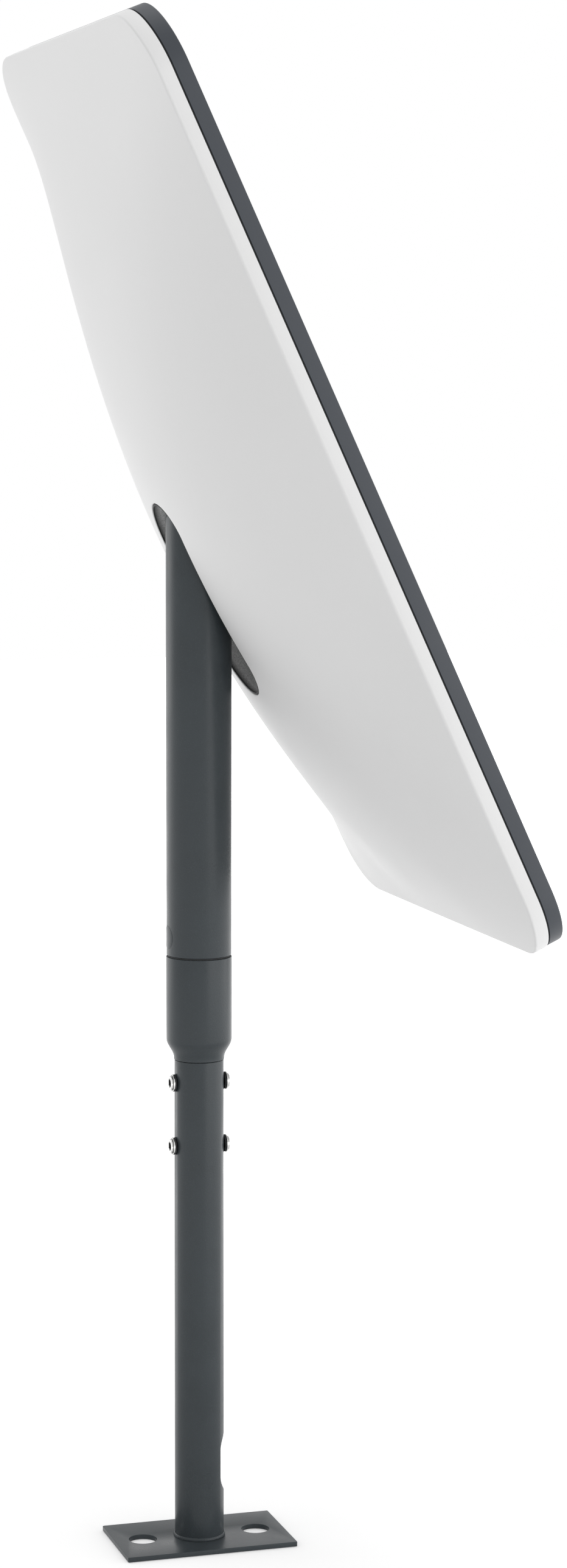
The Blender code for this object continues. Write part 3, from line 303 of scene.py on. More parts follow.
def moulded_plastic(name, colour, roughness, grain=0.45 * MM, depth=0.012 * MM, specular=0.4, dust=0.03):
    """Matt moulded plastic: fine spark-eroded grain, faint flow marks, and a trace of dust."""
    finish = Finish(name, roughness, specular=specular)
    flow = finish.noise(60 * MM, 3.0, 0.55)
    speckle = finish.noise(1.2 * MM, 2.0, 0.6)
    marks = finish.between(flow, 0.0, 1.0, 0.35, 0.65)
    tone = finish.blend(marks, shade_of(colour, 0.99), shade_of(colour, 1.01))
    dusty = finish.maths("MULTIPLY", finish.between(speckle, 0.0, 1.0, 0.5, 0.75), dust)
    finish.colour(finish.blend(dusty, tone, shade_of(colour, 0.7)))
    finish.rough(finish.between(flow, roughness - 0.04, roughness + 0.05, 0.3, 0.7))
    finish.relief((finish.noise(grain, 2.0, 0.6), depth), (finish.noise(35 * MM, 1.0), 0.03 * MM))
    return finish.material


def powder_coat(name, colour, roughness=0.31):
    """Powder coat: the even pebbling of the melted powder, small tone changes, and a few lighter grains."""
    finish = Finish(name, roughness, specular=0.22)
    cloud = finish.noise(28 * MM, 4.0, 0.6)
    grain = finish.cells(0.8 * MM, feature="SMOOTH_F1")
    fleck = finish.between(finish.noise(0.5 * MM, 1.0), 0.0, 1.0, 0.62, 0.74)
    patches = finish.between(cloud, 0.0, 1.0, 0.35, 0.65)
    tone = finish.blend(patches, shade_of(colour, 0.93), shade_of(colour, 1.06))
    finish.colour(finish.blend(finish.maths("MULTIPLY", fleck, 0.22), tone, shade_of(colour, 1.9)))
    finish.rough(finish.between(cloud, roughness - 0.05, roughness + 0.06, 0.3, 0.7))
    finish.relief((grain, 0.03 * MM), (finish.noise(0.35 * MM, 2.0), 0.01 * MM))
    return finish.material


def machined_metal(name, colour, roughness, lay=(1.0, 1.0, 18.0), depth=0.006 * MM, spacing=0.9 * MM):
    """Bare metal with fine tool marks, whose lay is stretched along an axis, and handling smudges."""
    finish = Finish(name, roughness, metallic=1.0)
    marks = finish.noise(spacing, 3.0, 0.7, finish.turned(stretch=lay))
    smudge = finish.noise(9 * MM, 3.0, 0.6)
    touched = finish.between(smudge, 0.0, 1.0, 0.35, 0.7)
    finish.colour(finish.blend(touched, shade_of(colour, 0.9), shade_of(colour, 1.05)))
    both = finish.maths("ADD", marks, smudge)
    finish.rough(finish.between(both, roughness * 0.75, roughness * 1.35, 0.7, 1.3))
    finish.relief((marks, depth))
    return finish.material


def soft_rubber(name, colour, roughness=0.72):
    finish = Finish(name, roughness, specular=0.3)
    bloom = finish.noise(4 * MM, 4.0, 0.65)
    finish.colour(finish.blend(finish.between(bloom, 0.0, 1.0, 0.4, 0.75), colour, shade_of(colour, 2.2)))
    finish.rough(finish.between(bloom, roughness - 0.1, roughness + 0.1, 0.3, 0.7))
    finish.relief((finish.noise(0.25 * MM, 2.0), 0.02 * MM))
    return finish.material


def circuit_board(name):
    """Solder mask over a pattern of copper tracks."""
    finish = Finish(name, 0.42)
    weave = finish.noise(0.6 * MM, 1.0)
    tracks = finish.node("ShaderNodeTexBrick", {
        "Vector": finish.turned(turn=(0.0, QUARTER, 0.0)), "Scale": 1.0 / (14 * MM), "Mortar Size": 0.035,
        "Color1": (0.018, 0.10, 0.045, 1.0), "Color2": (0.022, 0.12, 0.05, 1.0),
        "Mortar": (0.05, 0.22, 0.10, 1.0)})
    threads = finish.maths("MULTIPLY", weave, 0.2)
    finish.colour(finish.blend(threads, tracks.outputs["Color"], (0.01, 0.06, 0.03)))
    finish.rough(finish.between(weave, 0.36, 0.5, 0.3, 0.7))
    finish.relief((tracks.outputs["Fac"], 0.03 * MM))
    return finish.material


def grained_well(name, rim, wall):
    """A lighter, grained wall, with painted shade near black over its rim and the top of the wall, standing in for
    the shadow under the slot's lip. The shade lies where the dome's share is 1.
    """
    finish = Finish(name, 0.6, specular=0.35)
    lip_shade_share = finish.node("ShaderNodeAttribute", attribute_name="dome_share").outputs["Fac"]
    speckle = finish.noise(0.7 * MM, 3.0, 0.7)
    grains = finish.between(speckle, 0.0, 1.0, 0.35, 0.65)
    grained = finish.blend(grains, shade_of(wall, 0.75), shade_of(wall, 1.25))
    # Painted shade: the top of the wall and the rim go near black, for the shadow under the lip.
    finish.colour(finish.blend(finish.between(lip_shade_share, 0.0, 1.0, 0.9, 1.0), grained, rim))
    finish.rough(finish.between(speckle, 0.6, 0.8, 0.3, 0.7))
    finish.relief((speckle, 0.08 * MM))
    return finish.material


def button_steel(name, colour, painted_shade):
    """Polished steel, with painted shade near black where an attribute marks it."""
    finish = Finish(name, 0.2, metallic=1.0)
    shade_share = finish.node("ShaderNodeAttribute", attribute_name="painted_shade").outputs["Fac"]
    marks = finish.noise(0.5 * MM, 3.0, 0.7)
    bright = finish.blend(marks, shade_of(colour, 0.85), shade_of(colour, 1.1))
    finish.colour(finish.blend(shade_share, bright, painted_shade))
    finish.rough(finish.between(marks, 0.14, 0.3, 0.3, 0.7))
    finish.relief((marks, 0.006 * MM))
    return finish.material


def cell_foam(name, colour):
    finish = Finish(name, 0.9, specular=0.2)
    pores = finish.cells(1.6 * MM)
    finish.colour(finish.blend(finish.between(pores, 0.0, 1.0, 0.1, 0.6), shade_of(colour, 0.85), colour))
    finish.rough(finish.between(pores, 0.85, 0.95))
    finish.relief((pores, 0.25 * MM))
    return finish.material


SLATE = (0.040, 0.048, 0.053)
RIM_SLATE = (0.042, 0.048, 0.058)
WHITE = (0.75, 0.75, 0.75)
FRONT_WHITE = (0.76, 0.76, 0.76)
# Near black painted shade along the top of the well's wall and its rim.
PAINTED_LIP_SHADE = (0.02, 0.021, 0.022)
LINER_GREY = (0.66, 0.66, 0.66)
BUTTON_STEEL = (0.60, 0.60, 0.59)
ALUMINIUM = (0.55, 0.56, 0.57)

MATERIALS = {
    "white_shell": moulded_plastic("white_shell", WHITE, 0.5),
    "white_front": moulded_plastic(
        "white_front", FRONT_WHITE, 0.5, grain=0.6 * MM, specular=0.3, dust=0.02),
    "dark_powder_coat": powder_coat("dark_powder_coat", SLATE),
    "dark_rim": moulded_plastic("dark_rim", RIM_SLATE, 0.46, grain=0.5 * MM, depth=0.02 * MM, dust=0.08),
    "grey_liner": grained_well("grey_liner", PAINTED_LIP_SHADE, LINER_GREY),
    "black_rubber": soft_rubber("black_rubber", (0.016, 0.017, 0.018)),
    "bright_steel": machined_metal("bright_steel", (0.66, 0.66, 0.64), 0.22, lay=(6.0, 1.0, 1.0)),
    "bearing_steel": machined_metal("bearing_steel", (0.56, 0.56, 0.57), 0.2),
    "cast_aluminium": machined_metal(
        "cast_aluminium", ALUMINIUM, 0.42, lay=(1.0, 1.0, 1.0), depth=0.03 * MM),
    "brass": machined_metal("brass", (0.62, 0.46, 0.20), 0.3),
    "gear_plastic": moulded_plastic("gear_plastic", (0.78, 0.76, 0.68), 0.45),
    "circuit_board": circuit_board("circuit_board"),
    "core_foam": cell_foam("core_foam", (0.76, 0.75, 0.71)),
    "lead_black": moulded_plastic("lead_black", (0.026, 0.026, 0.027), 0.5, grain=0.8 * MM),
}
# Near black painted shade in the screws' sockets and grooves and under their heads.
BUTTON_FINISH = button_steel("button_steel", BUTTON_STEEL, (0.02, 0.02, 0.021))

# ---------------------------------------------------------------- shaping


def arc(radius, start, end, steps, centre=(0.0, 0.0)):
    turns = [start + (end - start) * i / steps for i in range(steps + 1)]
    return [(centre[0] + radius * math.cos(t), centre[1] + radius * math.sin(t)) for t in turns]


def circle(radius, steps, centre=(0.0, 0.0)):
    return arc(radius, 0.0, 4 * QUARTER, steps, centre)[:-1]


def filleted(corners, steps=4):
    """A closed outline of (x, y, radius), each corner rounded by a curve that starts its radius away."""
    points = []
    for i, (x, y, radius) in enumerate(corners):
        here = Vector((x, y))
        ends = [Vector(corners[j][:2]) for j in (i - 1, (i + 1) % len(corners))]
        if radius == 0.0:
            points.append((x, y))
            continue
        ways = [other - here for other in ends]
        start, end = (here + way.normalized() * min(radius, way.length / 2) for way in ways)
        for k in range(steps + 1):
            t = k / steps
            points.append(tuple(start * (1 - t) ** 2 + here * 2 * t * (1 - t) + end * t * t))
    return points


def rounded_rectangle(width, height, radius, steps=CORNER_STEPS, along=(0, 0)):
    x, y = width / 2 - radius, height / 2 - radius
    corners = ((x, y), (-x, y), (-x, -y), (x, -y))
    sides = ((-2 * x, 0.0), (0.0, -2 * y), (2 * x, 0.0), (0.0, 2 * y))
    points = []
    for i, corner in enumerate(corners):
        points += arc(radius, i * QUARTER, (i + 1) * QUARTER, steps, corner)
        here = Vector(points[-1])
        extra = along[1 - i % 2]
        points += [tuple(here + Vector(sides[i]) * (j / (extra + 1))) for j in range(1, extra + 1)]
    return points


def skin(name, rings, looped=False, shares=None, attribute="dome_share"):
    """A mesh through rings of points, joined end to end or closed by a face at each end."""
    count = len(rings[0])
    points = [tuple(point) for ring in rings for point in ring]
    faces = []
    for row in range(len(rings) if looped else len(rings) - 1):
        near, far = row * count, (row + 1) % len(rings) * count
        faces += [(near + i, near + (i + 1) % count, far + (i + 1) % count, far + i) for i in range(count)]
    if not looped:
        faces += [tuple(range(count)), tuple(range(len(points) - count, len(points)))]
    mesh = bpy.data.meshes.new(name)
    mesh.from_pydata(points, [], faces)
    if shares:
        made = mesh.attributes.new(attribute, "FLOAT", "POINT")
        made.data.foreach_set("value", [share for share in shares for _ in range(count)])
    outwards(mesh)
    return mesh


def outwards(mesh):
    shape = bmesh.new()
    shape.from_mesh(mesh)
    bmesh.ops.recalc_face_normals(shape, faces=shape.faces)
    shape.to_mesh(mesh)
    shape.free()


def turned(name, profile, steps=ROUND_STEPS):
    """A profile of (radius, height) turned about Z: a ring, or solid where its ends lie on the axis."""
    solid = profile[0][0] == 0.0
    rows = profile[1:-1] if solid else profile
    rings = [[(r * x, r * y, z) for x, y in circle(1.0, steps)] for r, z in rows]
    return skin(name, rings, looped=not solid)


def fine_tube(outer, inner, bottom, top, edge=FINE_EDGE):
    return filleted([(outer, top, edge), (outer, bottom, edge), (inner, bottom, edge), (inner, top, edge)])


def plate_mesh(name, outlines, thickness, edge=FINE_EDGE):
    """A flat plate, less any outline inside another, with rounded edges, rising from Z = 0."""
    curve = bpy.data.curves.new(name, "CURVE")
    curve.dimensions = "2D"
    curve.fill_mode = "BOTH"
    curve.extrude = thickness / 2 - edge
    curve.bevel_depth = edge
    curve.offset = -edge
    curve.bevel_resolution = 2
    for outline in outlines:
        spline = curve.splines.new("POLY")
        spline.points.add(len(outline) - 1)
        for point, (x, y) in zip(spline.points, outline):
            point.co = (x, y, 0.0, 1.0)
        spline.use_cyclic_u = True
    guide = bpy.data.objects.new(name, curve)
    mesh = evaluated(guide)
    shape = bmesh.new()
    shape.from_mesh(mesh)
    bmesh.ops.remove_doubles(shape, verts=shape.verts, dist=MERGE_REACH)
    bmesh.ops.translate(shape, verts=shape.verts, vec=(0.0, 0.0, thickness / 2))
    bmesh.ops.recalc_face_normals(shape, faces=shape.faces)
    shape.to_mesh(mesh)
    shape.free()
    return mesh


def evaluated(obj):
    """The mesh of an object with its modifiers, after which the object is gone."""
    bpy.context.scene.collection.objects.link(obj)
    bpy.context.view_layer.update()
    graph = bpy.context.evaluated_depsgraph_get()
    mesh = bpy.data.meshes.new_from_object(obj.evaluated_get(graph))
    bpy.data.objects.remove(obj, do_unlink=True)
    return mesh


def cut(mesh, cutters, edge=0.0):
    """The mesh less its cutters, with the new edges broken by a small bevel where one is given."""
    obj = bpy.data.objects.new(mesh.name, mesh)
    tools = []
    for cutter in cutters:
        tool = bpy.data.objects.new(cutter.name, cutter)
        bpy.context.scene.collection.objects.link(tool)
        tools.append(tool)
        modifier = obj.modifiers.new("cut", "BOOLEAN")
        modifier.operation = "DIFFERENCE"
        modifier.object = tool
    if edge:
        bevel = obj.modifiers.new("edge", "BEVEL")
        bevel.width = edge
        bevel.segments = 2
        bevel.limit_method = "ANGLE"
        bevel.angle_limit = BEVEL_ANGLE
        bevel.use_clamp_overlap = True
    made = evaluated(obj)
    for tool in tools:
        bpy.data.objects.remove(tool, do_unlink=True)
    return made


def rod(name, radius, low, high, place=None, steps=SMALL_STEPS):
    mesh = turned(name, [(0.0, high), (radius, high), (radius, low), (0.0, low)], steps)
    if place is not None:
        mesh.transform(place)
    return mesh


def show(name, mesh, body, slot, replaced=(), angle=SMOOTH_ANGLE, finish=None):
    """A finished piece: its object at the origin, its finish, its body and the nodes that it stands for."""
    obj = bpy.data.objects.new(name, mesh)
    bpy.context.scene.collection.objects.link(obj)
    mesh.name = name
    mesh.materials.clear()
    mesh.materials.append(finish or MATERIALS[slot])
    mesh.shade_smooth()
    mesh.set_sharp_from_angle(angle=angle)
    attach(obj, body)
    if replaced:
        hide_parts(*replaced)
    return obj


# ---------------------------------------------------------------- rule-made shapes


class Rules:
    """A geometry node tree with named inputs, which ends in Realize Instances and Set Material."""

    def __init__(self, name, numbers):
        self.tree = bpy.data.node_groups.new(name, "GeometryNodeTree")
        face = self.tree.interface
        face.new_socket("Geometry", in_out="INPUT", socket_type="NodeSocketGeometry")
        for key, value in numbers.items():
            kind = "NodeSocketInt" if isinstance(value, int) else "NodeSocketFloat"
            face.new_socket(key, in_out="INPUT", socket_type=kind)
        face.new_socket("Material", in_out="INPUT", socket_type="NodeSocketMaterial")
        face.new_socket("Geometry", in_out="OUTPUT", socket_type="NodeSocketGeometry")
        self.numbers = numbers
        self.given = self.node("NodeGroupInput").outputs

    def node(self, kind, values=None, **settings):
        return add_node(self.tree, kind, values, **settings)

    def maths(self, operation, first, second=0.0):
        return self.node("ShaderNodeMath", {0: first, 1: second}, operation=operation).outputs[0]

    def vector(self, x=0.0, y=0.0, z=0.0):
        return self.node("ShaderNodeCombineXYZ", {"X": x, "Y": y, "Z": z}).outputs[0]

    def made(self, mesh, geometry, material):
        """The mesh that the tree makes of this one, once its inputs hold their numbers."""
        real = self.node("GeometryNodeRealizeInstances", {"Geometry": geometry})
        painted = self.node("GeometryNodeSetMaterial", {
            "Geometry": real.outputs["Geometry"], "Material": self.given["Material"]})
        self.node("NodeGroupOutput", {"Geometry": painted.outputs["Geometry"]})
        obj = bpy.data.objects.new(mesh.name, mesh)
        modifier = obj.modifiers.new(self.tree.name, "NODES")
        modifier.node_group = self.tree
        items = self.tree.interface.items_tree
        sockets = {item.name: item.identifier for item in items if item.in_out == "INPUT"}
        for key, value in self.numbers.items():
            modifier[sockets[key]] = value
        modifier[sockets["Material"]] = material
        return evaluated(obj)


def domed(mesh, material):
    """Lifts the flat rings of the back by the dome's own rule."""
    rules = Rules("dome_rule", {
        "Dome Height": DOME_HEIGHT, "Panel Length": PANEL_LENGTH, "Panel Width": PANEL_WIDTH,
        "Dome Shift": DOME_SHIFT})
    position = rules.node("GeometryNodeInputPosition").outputs[0]
    axes = rules.node("ShaderNodeSeparateXYZ", {0: position}).outputs
    from_top = rules.maths("SUBTRACT", axes["Y"], rules.given["Dome Shift"])
    half = rules.maths("MULTIPLY", rules.given["Panel Length"], 0.5)
    side = rules.maths("SIGN", from_top)
    reach = rules.maths("SUBTRACT", half, rules.maths("MULTIPLY", side, rules.given["Dome Shift"]))
    half_width = rules.maths("MULTIPLY", rules.given["Panel Width"], 0.5)
    falls = []
    for part in (rules.maths("DIVIDE", from_top, reach), rules.maths("DIVIDE", axes["X"], half_width)):
        fall = rules.maths("POWER", rules.maths("ABSOLUTE", part), 2.0)
        falls.append(rules.maths("MAXIMUM", rules.maths("SUBTRACT", 1.0, fall)))
    rise = rules.maths("MULTIPLY", *falls)
    share = rules.node("GeometryNodeInputNamedAttribute", {"Name": "dome_share"}).outputs["Attribute"]
    height = rules.maths("MULTIPLY", rules.maths("MULTIPLY", rise, rules.given["Dome Height"]), share)
    lifted = rules.node("GeometryNodeSetPosition", {
        "Geometry": rules.given["Geometry"],
        "Offset": rules.vector(z=rules.maths("MULTIPLY", height, -1.0))})
    return rules.made(mesh, lifted.outputs["Geometry"], material)


def rippled(mesh, material):
    """Weld ripples round a bead: each a low swell that leans back along the seam."""
    rules = Rules("weld_rule", {
        "Ripples": WELD_RIPPLES, "Ripple Height": WELD_RIPPLE_HEIGHT, "Ripple Lean": WELD_RIPPLE_LEAN})
    position = rules.node("GeometryNodeInputPosition").outputs[0]
    axes = rules.node("ShaderNodeSeparateXYZ", {0: position}).outputs
    turn = rules.maths("ARCTAN2", axes["Y"], axes["X"])
    lean = rules.maths("MULTIPLY", axes["Z"], rules.given["Ripple Lean"])
    seam = rules.maths("MULTIPLY", turn, rules.given["Ripples"])
    wave = rules.maths("SINE", rules.maths("ADD", seam, lean))
    size = rules.maths("MULTIPLY", wave, rules.given["Ripple Height"])
    normal = rules.node("GeometryNodeInputNormal").outputs[0]
    push = rules.node("ShaderNodeVectorMath", {0: normal, "Scale": size}, operation="SCALE").outputs[0]
    swollen = rules.node("GeometryNodeSetPosition", {"Geometry": rules.given["Geometry"], "Offset": push})
    return rules.made(mesh, swollen.outputs["Geometry"], material)


def clamped(mesh, material):
    """Copies of a fastener on the +X side: one in each row, on both sides of the pole."""
    rules = Rules("clamp_rule", {
        "Rows": len(CLAMP_DROPS), "Top Row": pole_high.z - CLAMP_DROPS[0],
        "Row Spacing": CLAMP_DROPS[1] - CLAMP_DROPS[0]})
    line = rules.node("GeometryNodeMeshLine", {
        "Count": rules.given["Rows"],
        "Start Location": rules.vector(z=rules.given["Top Row"]),
        "Offset": rules.vector(z=rules.maths("MULTIPLY", rules.given["Row Spacing"], -1.0))})
    row = rules.node("GeometryNodeInstanceOnPoints", {
        "Points": line.outputs["Mesh"], "Instance": rules.given["Geometry"]})
    other = rules.node("GeometryNodeTransform", {
        "Geometry": row.outputs["Instances"], "Rotation": (0.0, 0.0, 2 * QUARTER)})
    both = rules.node("GeometryNodeJoinGeometry")
    rules.tree.links.new(row.outputs["Instances"], both.inputs["Geometry"])
    rules.tree.links.new(other.outputs["Geometry"], both.inputs["Geometry"])
    return rules.made(mesh, both.outputs["Geometry"], material)


# ---------------------------------------------------------------- foot and pole


def foot_plate():
    outlines = [rounded_rectangle(plate_high.x * 2, plate_high.y * 2, PLATE_CORNER, LIP_STEPS)]
    for side in (-1, 1):
        outlines.append(circle(PLATE_HOLE_RADIUS, HOLE_STEPS, (side * PLATE_HOLE_SPACING / 2, 0.0)))
    mesh = plate_mesh("foot_plate", outlines, plate_top)
    show("foot_plate", mesh, "mount", "dark_powder_coat", ["base_plate"])


def weld():
    inner = pole_radius + GAP / 2
    foot = plate_top + GAP / 2
    face = [(inner + WELD_PROUD * x, foot + WELD_HEIGHT * y) for x, y in arc(1.0, QUARTER, 0.0, WELD_STEPS)]
    mesh = turned("weld", [*face, (inner, foot)], 4 * ROUND_STEPS)
    mesh = rippled(mesh, MATERIALS["dark_powder_coat"])
    show("weld", mesh, "mount", "dark_powder_coat", ["weld_bead"], angle=WELD_SMOOTH_ANGLE)


def cable_hole():
    """A cutter with the round-ended outline of the hole on the pole's +X side."""
    radius = CABLE_HOLE_WIDTH / 2
    rise = CABLE_HOLE_HEIGHT / 2 - radius
    outline = arc(radius, 0.0, 2 * QUARTER, SMALL_STEPS // 2, (0.0, rise))
    outline += arc(radius, 2 * QUARTER, 4 * QUARTER, SMALL_STEPS // 2, (0.0, -rise))
    height = plate_top + CABLE_HOLE_CENTRE
    rings = [[(depth, x, height + y) for x, y in outline] for depth in (0.0, 2 * pole_radius)]
    return skin("cable_hole", rings)


def clamp_holes(name, radius):
    """Cutters straight through the pole, one for each row of clamp screws."""
    cutters = []
    for drop in CLAMP_DROPS:
        across = Matrix.Translation((0.0, 0.0, pole_high.z - drop)) @ Matrix.Rotation(QUARTER, 4, "Y")
        cutters.append(rod(name, radius, -2 * pole_radius, 2 * pole_radius, across))
    return cutters


def pole():
    mesh = turned("pole", fine_tube(pole_radius, pole_radius - POLE_WALL, pole_low.z, pole_high.z, TUBE_EDGE))
    mesh = cut(mesh, [cable_hole(), *clamp_holes("clamp_hole", CLAMP_SHANK_RADIUS + GAP)], HOLE_EDGE)
    show("pole", mesh, "mount", "dark_powder_coat", ["pole_tube"])


# ---------------------------------------------------------------- collar and screws


def collar():
    """Bearing journal, cup, curved shoulder, neck, and the spigot in the pole, turned in one piece."""
    middle = (collar_radius + COLLAR_NECK_RADIUS) / 2
    swing = (collar_radius - COLLAR_NECK_RADIUS) / 2
    shoulder = [
        (middle + swing * math.cos(2 * QUARTER * i / SHOULDER_STEPS),
         shoulder_top - COLLAR_SHOULDER_HEIGHT * i / SHOULDER_STEPS, 0.0)
        for i in range(SHOULDER_STEPS + 1)
    ]
    spigot = pole_radius - POLE_WALL - GAP
    spigot_end = pole_high.z - SPIGOT_LENGTH
    profile = filleted([
        (COLLAR_BORE, journal_top, FINE_EDGE), (JOURNAL_RADIUS, journal_top, FINE_EDGE),
        (JOURNAL_RADIUS, collar_top, 0.0), (collar_radius, collar_top, FINE_EDGE), *shoulder,
        (COLLAR_NECK_RADIUS, neck_bottom, FINE_EDGE), (spigot, neck_bottom, 0.0),
        (spigot, spigot_end, SOFT_EDGE), (COLLAR_BORE, spigot_end, FINE_EDGE)])
    mesh = cut(turned("collar", profile), clamp_holes("nut_hole", CLAMP_NUT_RADIUS + GAP))
    show("collar", mesh, "mount", "dark_powder_coat", ["mast_collar"])


def seam_ring():
    outer = mast_radius - SEAL_GAP
    bottom, top = collar_top + SEAL_GAP / 2, mast_low.z - SEAL_GAP / 2
    wall = fine_tube(outer, outer - SEAL_WIDTH, bottom, top, SEAL_EDGE)
    show("seam_ring", turned("seam_ring", wall), "mount", "black_rubber", ["seam_seal"])


def hexagon(radius, steps):
    """Points round a hexagon, as many on each side."""
    points = []
    for x, y in circle(1.0, steps):
        turn = math.atan2(y, x) % (2 * QUARTER / 3)
        reach = radius * math.cos(QUARTER / 3) / math.cos(turn - QUARTER / 3)
        points.append((x * reach, y * reach))
    return points


def clamp_screws():
    """Flanged button heads with a hexagonal socket, and their shanks."""
    seat = pole_radius + GAP + CLAMP_WASHER_HEIGHT + GAP
    flange_top = seat + CLAMP_FLANGE_HEIGHT
    flange_edge = flange_top - CLAMP_FLANGE_DROP
    top = seat + CLAMP_HEAD_HEIGHT
    key_floor = top - CLAMP_KEY_DEPTH
    shank_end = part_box("clamp_screw_3")[0].x
    socket = [  # share of the socket's radius, height, painted shade
        (KEY_POINT_SHARE, key_floor - KEY_CHAMFER, 1.0),
        (1.0, key_floor, 1.0),
        (1.0, top - KEY_CHAMFER, 0.9),
    ]
    profile = [  # radius, height, painted shade
        (CLAMP_KEY_RADIUS + KEY_CHAMFER, top, 0.3),
        (CLAMP_CROWN_RADIUS - CROWN_ROUND, top, 0.0),
        (CLAMP_CROWN_RADIUS - CROWN_CORNER, top - CROWN_CORNER, 0.0),
        (CLAMP_CROWN_RADIUS, top - CROWN_ROUND, 0.0),
        (CLAMP_CROWN_RADIUS, flange_top + CLAMP_EDGE, 0.15),
        (CLAMP_CROWN_RADIUS - CLAMP_CROWN_GROOVE, flange_top, 1.0),
        (CLAMP_CROWN_RADIUS + CLAMP_CROWN_GROOVE, flange_top, 0.8),
        (CLAMP_HEAD_RADIUS - CLAMP_EDGE, flange_edge, 0.0),
        (CLAMP_HEAD_RADIUS, flange_edge - CLAMP_EDGE, 0.0),
        (CLAMP_HEAD_RADIUS, seat + CLAMP_EDGE, 0.1),
        (CLAMP_HEAD_RADIUS - CLAMP_EDGE, seat, 0.8),
        (CLAMP_SHANK_RADIUS, seat, 1.0),
        (CLAMP_SHANK_RADIUS, shank_end, 0.6),
    ]
    key = hexagon(CLAMP_KEY_RADIUS, SMALL_STEPS)
    round_turn = circle(1.0, SMALL_STEPS)
    rings = [[(share * x, share * y, height) for x, y in key] for share, height, _ in socket]
    rings += [[(radius * x, radius * y, height) for x, y in round_turn] for radius, height, _ in profile]
    # Painted shade: near black in the socket, in the groove under the crown and under the head.
    shade_share = [row[2] for row in socket + profile]
    mesh = skin("clamp_screws", rings, shares=shade_share, attribute="painted_shade")
    mesh.transform(Matrix.Rotation(QUARTER, 4, "Y"))
    mesh = clamped(mesh, BUTTON_FINISH)
    nodes = [f"clamp_screw_{i}" for i in range(1, 5)]
    show("clamp_screws", mesh, "mount", "bright_steel", nodes, finish=BUTTON_FINISH)


def clamp_washers():
    bottom = pole_radius + GAP / 2
    top = pole_radius + GAP + CLAMP_WASHER_HEIGHT + GAP / 2
    wall = fine_tube(CLAMP_WASHER_RADIUS, CLAMP_SHANK_RADIUS + GAP, bottom, top)
    mesh = turned("clamp_washers", wall, SMALL_STEPS)
    mesh.transform(Matrix.Rotation(QUARTER, 4, "Y"))
    mesh = clamped(mesh, MATERIALS["black_rubber"])
    nodes = [f"clamp_washer_{i}" for i in range(1, 5)]
    show("clamp_washers", mesh, "mount", "black_rubber", nodes)


# ---------------------------------------------------------------- mast


def mast():
    """The turning tube, tapered at its top, with its cross holes for the tilt shaft and the head screw."""
    inwards, down = MAST_TOP_TAPER
    bore = mast_radius - MAST_WALL
    profile = filleted([
        (mast_radius - inwards, mast_high.z, TUBE_EDGE), (mast_radius, mast_high.z - down, SOFT_EDGE),
        (mast_radius, mast_low.z, FINE_EDGE), (bore, mast_low.z, FINE_EDGE), (bore, mast_high.z, TUBE_EDGE)])
    shaft = Matrix.Translation(pivot) @ Matrix.Rotation(QUARTER, 4, "X")
    side = Matrix.Translation((0.0, 0.0, pivot.z - HEAD_SCREW_DROP)) @ Matrix.Rotation(QUARTER, 4, "Y")
    cutters = [
        rod("shaft_hole", SHAFT_RADIUS + GAP, -2 * mast_radius, 2 * mast_radius, shaft),
        rod("screw_hole", HEAD_SCREW_RADIUS + GAP, 0.0, 2 * mast_radius, side),
    ]
    show("mast", cut(turned("mast", profile), cutters), "mast", "dark_powder_coat", ["mast_tube"])


def mast_plug():
    """The round plug low on the back of the mast, curved with it, a little proud, with a softened rim."""
    rings = []
    for share, proud in PLUG_RINGS:
        ring = []
        for x, y in circle(PLUG_RADIUS * share, PLUG_STEPS):
            turn = 2 * QUARTER + x / mast_radius
            reach = mast_radius + proud
            ring.append((reach * math.cos(turn), reach * math.sin(turn), mast_low.z + PLUG_HEIGHT + y))
        rings.append(ring)
    show("mast_plug", skin("mast_plug", rings), "mast", "dark_powder_coat")


# ---------------------------------------------------------------- panel


def panel_outline(inset):
    return rounded_rectangle(
        PANEL_WIDTH - 2 * inset, PANEL_LENGTH - 2 * inset, PANEL_CORNER - inset, CORNER_STEPS, SIDE_POINTS)


def slot_outline(grow):
    """The slot's round-ended outline, with one point for each point of the panel's outline."""
    radius = SLOT_WIDTH / 2 + grow
    rise = (SLOT_LENGTH - SLOT_WIDTH) / 2
    reach = PANEL_LENGTH / 2 - PANEL_CORNER
    points = []
    for x, y in panel_outline(0.0):
        level = max(-reach, min(reach, y))
        turn = math.atan2((y - level) / PANEL_CORNER, 2 * x / PANEL_WIDTH)
        middle = SLOT_CENTRE + rise * level / reach
        points.append((radius * math.cos(turn), middle + radius * math.sin(turn)))
    return points


def flat_ring(outline, height):
    return [(x, y, height) for x, y in outline]


def spread(first, second, share):
    """An outline on the way from the first (0) to the second (1)."""
    return [(a[0] + (b[0] - a[0]) * share, a[1] + (b[1] - a[1]) * share) for a, b in zip(first, second)]


